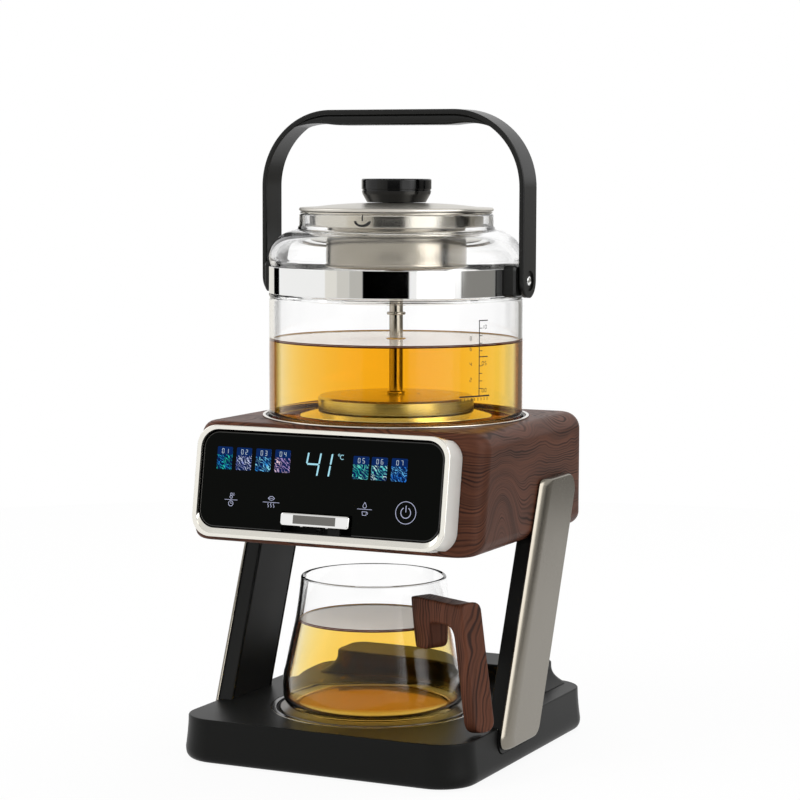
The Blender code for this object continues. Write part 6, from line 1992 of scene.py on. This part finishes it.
def make_floor():
    disc = turned("floor", [(0, 0), (1.1, 0), (1.1, -0.002), (0, -0.002)], (0, 0, 0))
    disc.data.materials.append(material("floor_white", floor_white))


def floor_white(tree):
    """Matt white that shows almost even white to every ray that is seen."""
    share = times(tree, seen_ray(tree), 0.93)
    mix_into_surface(tree, share, tree.nodes["Principled BSDF"],
                     node(tree, "ShaderNodeEmission", {"Strength": 1.0}))
    return {"Base Color": (0.9, 0.9, 0.9), "Roughness": 0.9, "Specular IOR Level": 0.0}


def seen_ray(tree):
    """1 for rays from the camera, glossy surfaces and glass."""
    path = tree.nodes.new("ShaderNodeLightPath").outputs
    return maths(tree, "MAXIMUM", maths(tree, "MAXIMUM", path["Is Camera Ray"], path["Is Glossy Ray"]),
                 path["Is Transmission Ray"])


def make_surround():
    world = bpy.data.worlds.new("studio")
    bpy.context.scene.world = world
    world.use_nodes = True
    tree = world.node_tree
    direction = tree.nodes.new("ShaderNodeTexCoord").outputs["Generated"]
    flat = vector_maths(tree, "NORMALIZE", vector_maths(tree, "MULTIPLY", direction, (1, 1, 0)))
    tone = WHITE
    for start, end, level in REFLECTED:
        turn, half = math.radians((start + end) / 2), (end - start) / 2
        mask = facing(tree, flat, (math.cos(turn), math.sin(turn), 0), max(half - STRIPE_SOFTNESS, 0),
                      half + STRIPE_SOFTNESS)
        warm = (level, level * 0.975, level * 0.91) if level < 1 else (level, level, level)
        tone = mixed(tree, mask, tone, warm)
    rise = split(tree, direction)["Z"]
    tone = mixed(tree, remap(tree, rise, 0.0, 0.06, 0.0, 1.0, True), tone, WHITE)
    tone = mixed(tree, remap(tree, rise, 0.45, 0.8, 0.0, 1.0, True), tone, (0.66, 0.65, 0.62))
    for turn, lift, spread, level in PATCHES:
        turn, lift = math.radians(turn), math.radians(lift)
        centre = (math.cos(turn) * math.cos(lift), math.sin(turn) * math.cos(lift), math.sin(lift))
        tone = mixed(tree, facing(tree, direction, centre, spread * 0.6, spread), tone, (level,) * 3)
    away = view_direction()
    bright = facing(tree, direction, tuple(away), *BRIGHT_FIELD)
    behind = mixed(tree, bright, (0.20, 0.15, 0.085), WHITE)
    path = tree.nodes.new("ShaderNodeLightPath").outputs
    bounced = maths(tree, "MINIMUM", plus(tree, path["Glossy Depth"], path["Diffuse Depth"]), 1.0)
    unbounced = minus(tree, 1.0, bounced)
    tone = mixed(tree, times(tree, path["Is Transmission Ray"], unbounced), tone, behind)
    tone = mixed(tree, path["Is Camera Ray"], tone, WHITE)
    shown = node(tree, "ShaderNodeBackground", {"Color": tone, "Strength": 1.0})
    ambient = node(tree, "ShaderNodeBackground", {
        "Color": (1.0, 0.995, 0.985, 1.0), "Strength": bpy.context.scene.tea_maker_stage.surround})
    mix_into_surface(tree, seen_ray(tree), ambient, shown, "World Output")


def facing(tree, direction, centre, full, edge):
    """1 within full degrees of a direction, 0 beyond edge degrees."""
    near = vector_maths(tree, "DOT_PRODUCT", direction, centre, output="Value")
    return remap(tree, near, math.cos(math.radians(edge)), math.cos(math.radians(full)), 0.0, 1.0, True)


def view_direction():
    return Vector((-math.sin(CAMERA_AZIMUTH) * math.cos(CAMERA_DROP),
                   math.cos(CAMERA_AZIMUTH) * math.cos(CAMERA_DROP), -math.sin(CAMERA_DROP)))


def make_lights():
    stage = bpy.context.scene.tea_maker_stage
    softbox("key", (-0.95, -1.25, 1.25), 1.1, 0.8, stage.key_watts)
    softbox("top", (0.15, 0.75, 1.35), 1.2, 0.7, stage.top_watts)


def softbox(name, place, width, height, watts):
    lamp = bpy.data.lights.new(name, "AREA")
    lamp.shape = "RECTANGLE"
    lamp.size, lamp.size_y = width, height
    lamp.energy = watts
    obj = bpy.data.objects.new(name, lamp)
    obj.location = place
    obj.rotation_euler = (SUBJECT - Vector(place)).to_track_quat("-Z", "Y").to_euler()
    obj.visible_glossy = False
    obj.visible_transmission = False
    bpy.context.scene.collection.objects.link(obj)


def make_camera():
    stage = bpy.context.scene.tea_maker_stage
    ahead = view_direction()
    right = ahead.cross(Vector((0, 0, 1))).normalized()
    up = right.cross(ahead)
    rolled_right = right * math.cos(CAMERA_ROLL) + up * math.sin(CAMERA_ROLL)
    rolled_up = up * math.cos(CAMERA_ROLL) - right * math.sin(CAMERA_ROLL)
    axes = Matrix((rolled_right, rolled_up, -ahead)).transposed().to_4x4()
    data = bpy.data.cameras.new("camera")
    data.lens = stage.lens
    data.sensor_width = 36.0
    camera = bpy.data.objects.new("camera", data)
    bpy.context.scene.collection.objects.link(camera)
    camera.matrix_world = Matrix.Translation(CAMERA_PLACE) @ axes
    bpy.context.scene.camera = camera


# Operators


class Maker(bpy.types.Operator):
    """What the operators that build pieces share; each has its own build."""
    bl_options = {"REGISTER", "UNDO"}

    def execute(self, context):
        self.build()
        return {"FINISHED"}


class MakeStage(Maker):
    """Floor, surround, soft lights and camera."""
    bl_idname, bl_label = "tea_maker.stage", "Stage"
    build = staticmethod(make_stage)


class MakeBase(Maker):
    """Black base with its flared skirt, feet and underside."""
    bl_idname, bl_label = "tea_maker.base", "Base"
    build = staticmethod(make_base)


class MakeCupRest(Maker):
    """Polished ring, black groove and satin plate under the cup, with a painted pool of light on the plate's
    middle.
    """
    bl_idname, bl_label = "tea_maker.cup_rest", "Cup rest"
    build = staticmethod(make_cup_rest)


class MakeSupports(Maker):
    """Slanted black posts with a grooved inner panel, and satin covers outside them."""
    bl_idname, bl_label = "tea_maker.supports", "Supports"
    build = staticmethod(make_supports)


class MakeHead(Maker):
    """Walnut head with soft edges, open at its floor and at the pot's seat."""
    bl_idname, bl_label = "tea_maker.head", "Head"
    build = staticmethod(make_head)


class MakePanel(Maker):
    """Satin bezel with a sloping ledge, black display glass and its lever pocket."""
    bl_idname, bl_label = "tea_maker.panel", "Front panel"
    build = staticmethod(make_panel)


class MakeLever(Maker):
    """Dispensing lever: bright ends and a dark brushed face."""
    bl_idname, bl_label = "tea_maker.lever", "Lever"
    build = staticmethod(make_lever)


class MakeDisplay(Maker):
    """Glowing digits, plain numbered picture tiles and generic key marks."""
    bl_idname, bl_label = "tea_maker.display", "Display marks"
    build = staticmethod(make_display)


class MakeSeat(Maker):
    """Chrome ring in the head and the heated plate under the pot."""
    bl_idname, bl_label = "tea_maker.seat", "Pot seat"
    build = staticmethod(make_seat)


class MakePot(Maker):
    """Clear glass pot with its mirror band, floor plate, lugs and scale."""
    bl_idname, bl_label = "tea_maker.pot", "Pot"
    build = staticmethod(make_pot)


class MakeTea(Maker):
    """Tea in the pot and in the cup, with its still surface and the dark line where it meets the glass."""
    bl_idname, bl_label = "tea_maker.tea", "Tea"
    build = staticmethod(make_tea)


class MakeBail(Maker):
    """Black bail of flat strap with round corners, and the soft grip under its top."""
    bl_idname, bl_label = "tea_maker.bail", "Bail"
    build = staticmethod(make_bail)


class MakeBrewer(Maker):
    """Steam dome, riser, strainer basket and its bright collar."""
    bl_idname, bl_label = "tea_maker.brewer", "Brewer"
    build = staticmethod(make_brewer)


class MakeLid(Maker):
    """Satin lid with a rolled edge, its gasket and the black knob."""
    bl_idname, bl_label = "tea_maker.lid", "Lid"
    build = staticmethod(make_lid)


class MakeCup(Maker):
    """Clear glass cup and its walnut handle."""
    bl_idname, bl_label = "tea_maker.cup", "Cup"
    build = staticmethod(make_cup)


class FinishKeptNodes(Maker):
    """Finishes of the CAD pieces that stay as they are, most of them inside."""
    bl_idname, bl_label = "tea_maker.kept_nodes", "Inner pieces"
    build = staticmethod(finish_kept_nodes)


MAKERS = (MakeStage, MakeBase, MakeCupRest, MakeSupports, MakeHead, MakePanel, MakeLever, MakeDisplay,
          MakeSeat, MakePot, MakeTea, MakeBail, MakeBrewer, MakeLid, MakeCup, FinishKeptNodes)


class TeaMakerPanel(bpy.types.Panel):
    """Buttons for each group of pieces, and the sizes and colours."""
    bl_idname = "VIEW3D_PT_tea_maker"
    bl_label = "Tea maker"
    bl_space_type = "VIEW_3D"
    bl_region_type = "UI"
    bl_category = "Tea maker"

    def draw(self, context):
        for maker in MAKERS:
            self.layout.operator(maker.bl_idname)
        for settings in (context.scene.tea_maker_sizes, context.scene.tea_maker_colours,
                         context.scene.tea_maker_stage):
            for name in settings.__annotations__:
                self.layout.prop(settings, name)


def register():
    for made in (*PROPERTY_GROUPS, *MAKERS, TeaMakerPanel):
        bpy.utils.register_class(made)
    bpy.types.Scene.tea_maker_colours = PointerProperty(type=TeaMakerColours)
    bpy.types.Scene.tea_maker_sizes = PointerProperty(type=TeaMakerSizes)
    bpy.types.Scene.tea_maker_stage = PointerProperty(type=TeaMakerStage)


def unregister():
    del bpy.types.Scene.tea_maker_colours
    del bpy.types.Scene.tea_maker_sizes
    del bpy.types.Scene.tea_maker_stage
    for made in reversed((*PROPERTY_GROUPS, *MAKERS, TeaMakerPanel)):
        bpy.utils.unregister_class(made)


def main():
    register()
    for maker in MAKERS:
        section, word = maker.bl_idname.split(".")
        getattr(getattr(bpy.ops, section), word)()


if __name__ == "__main__":
    main()
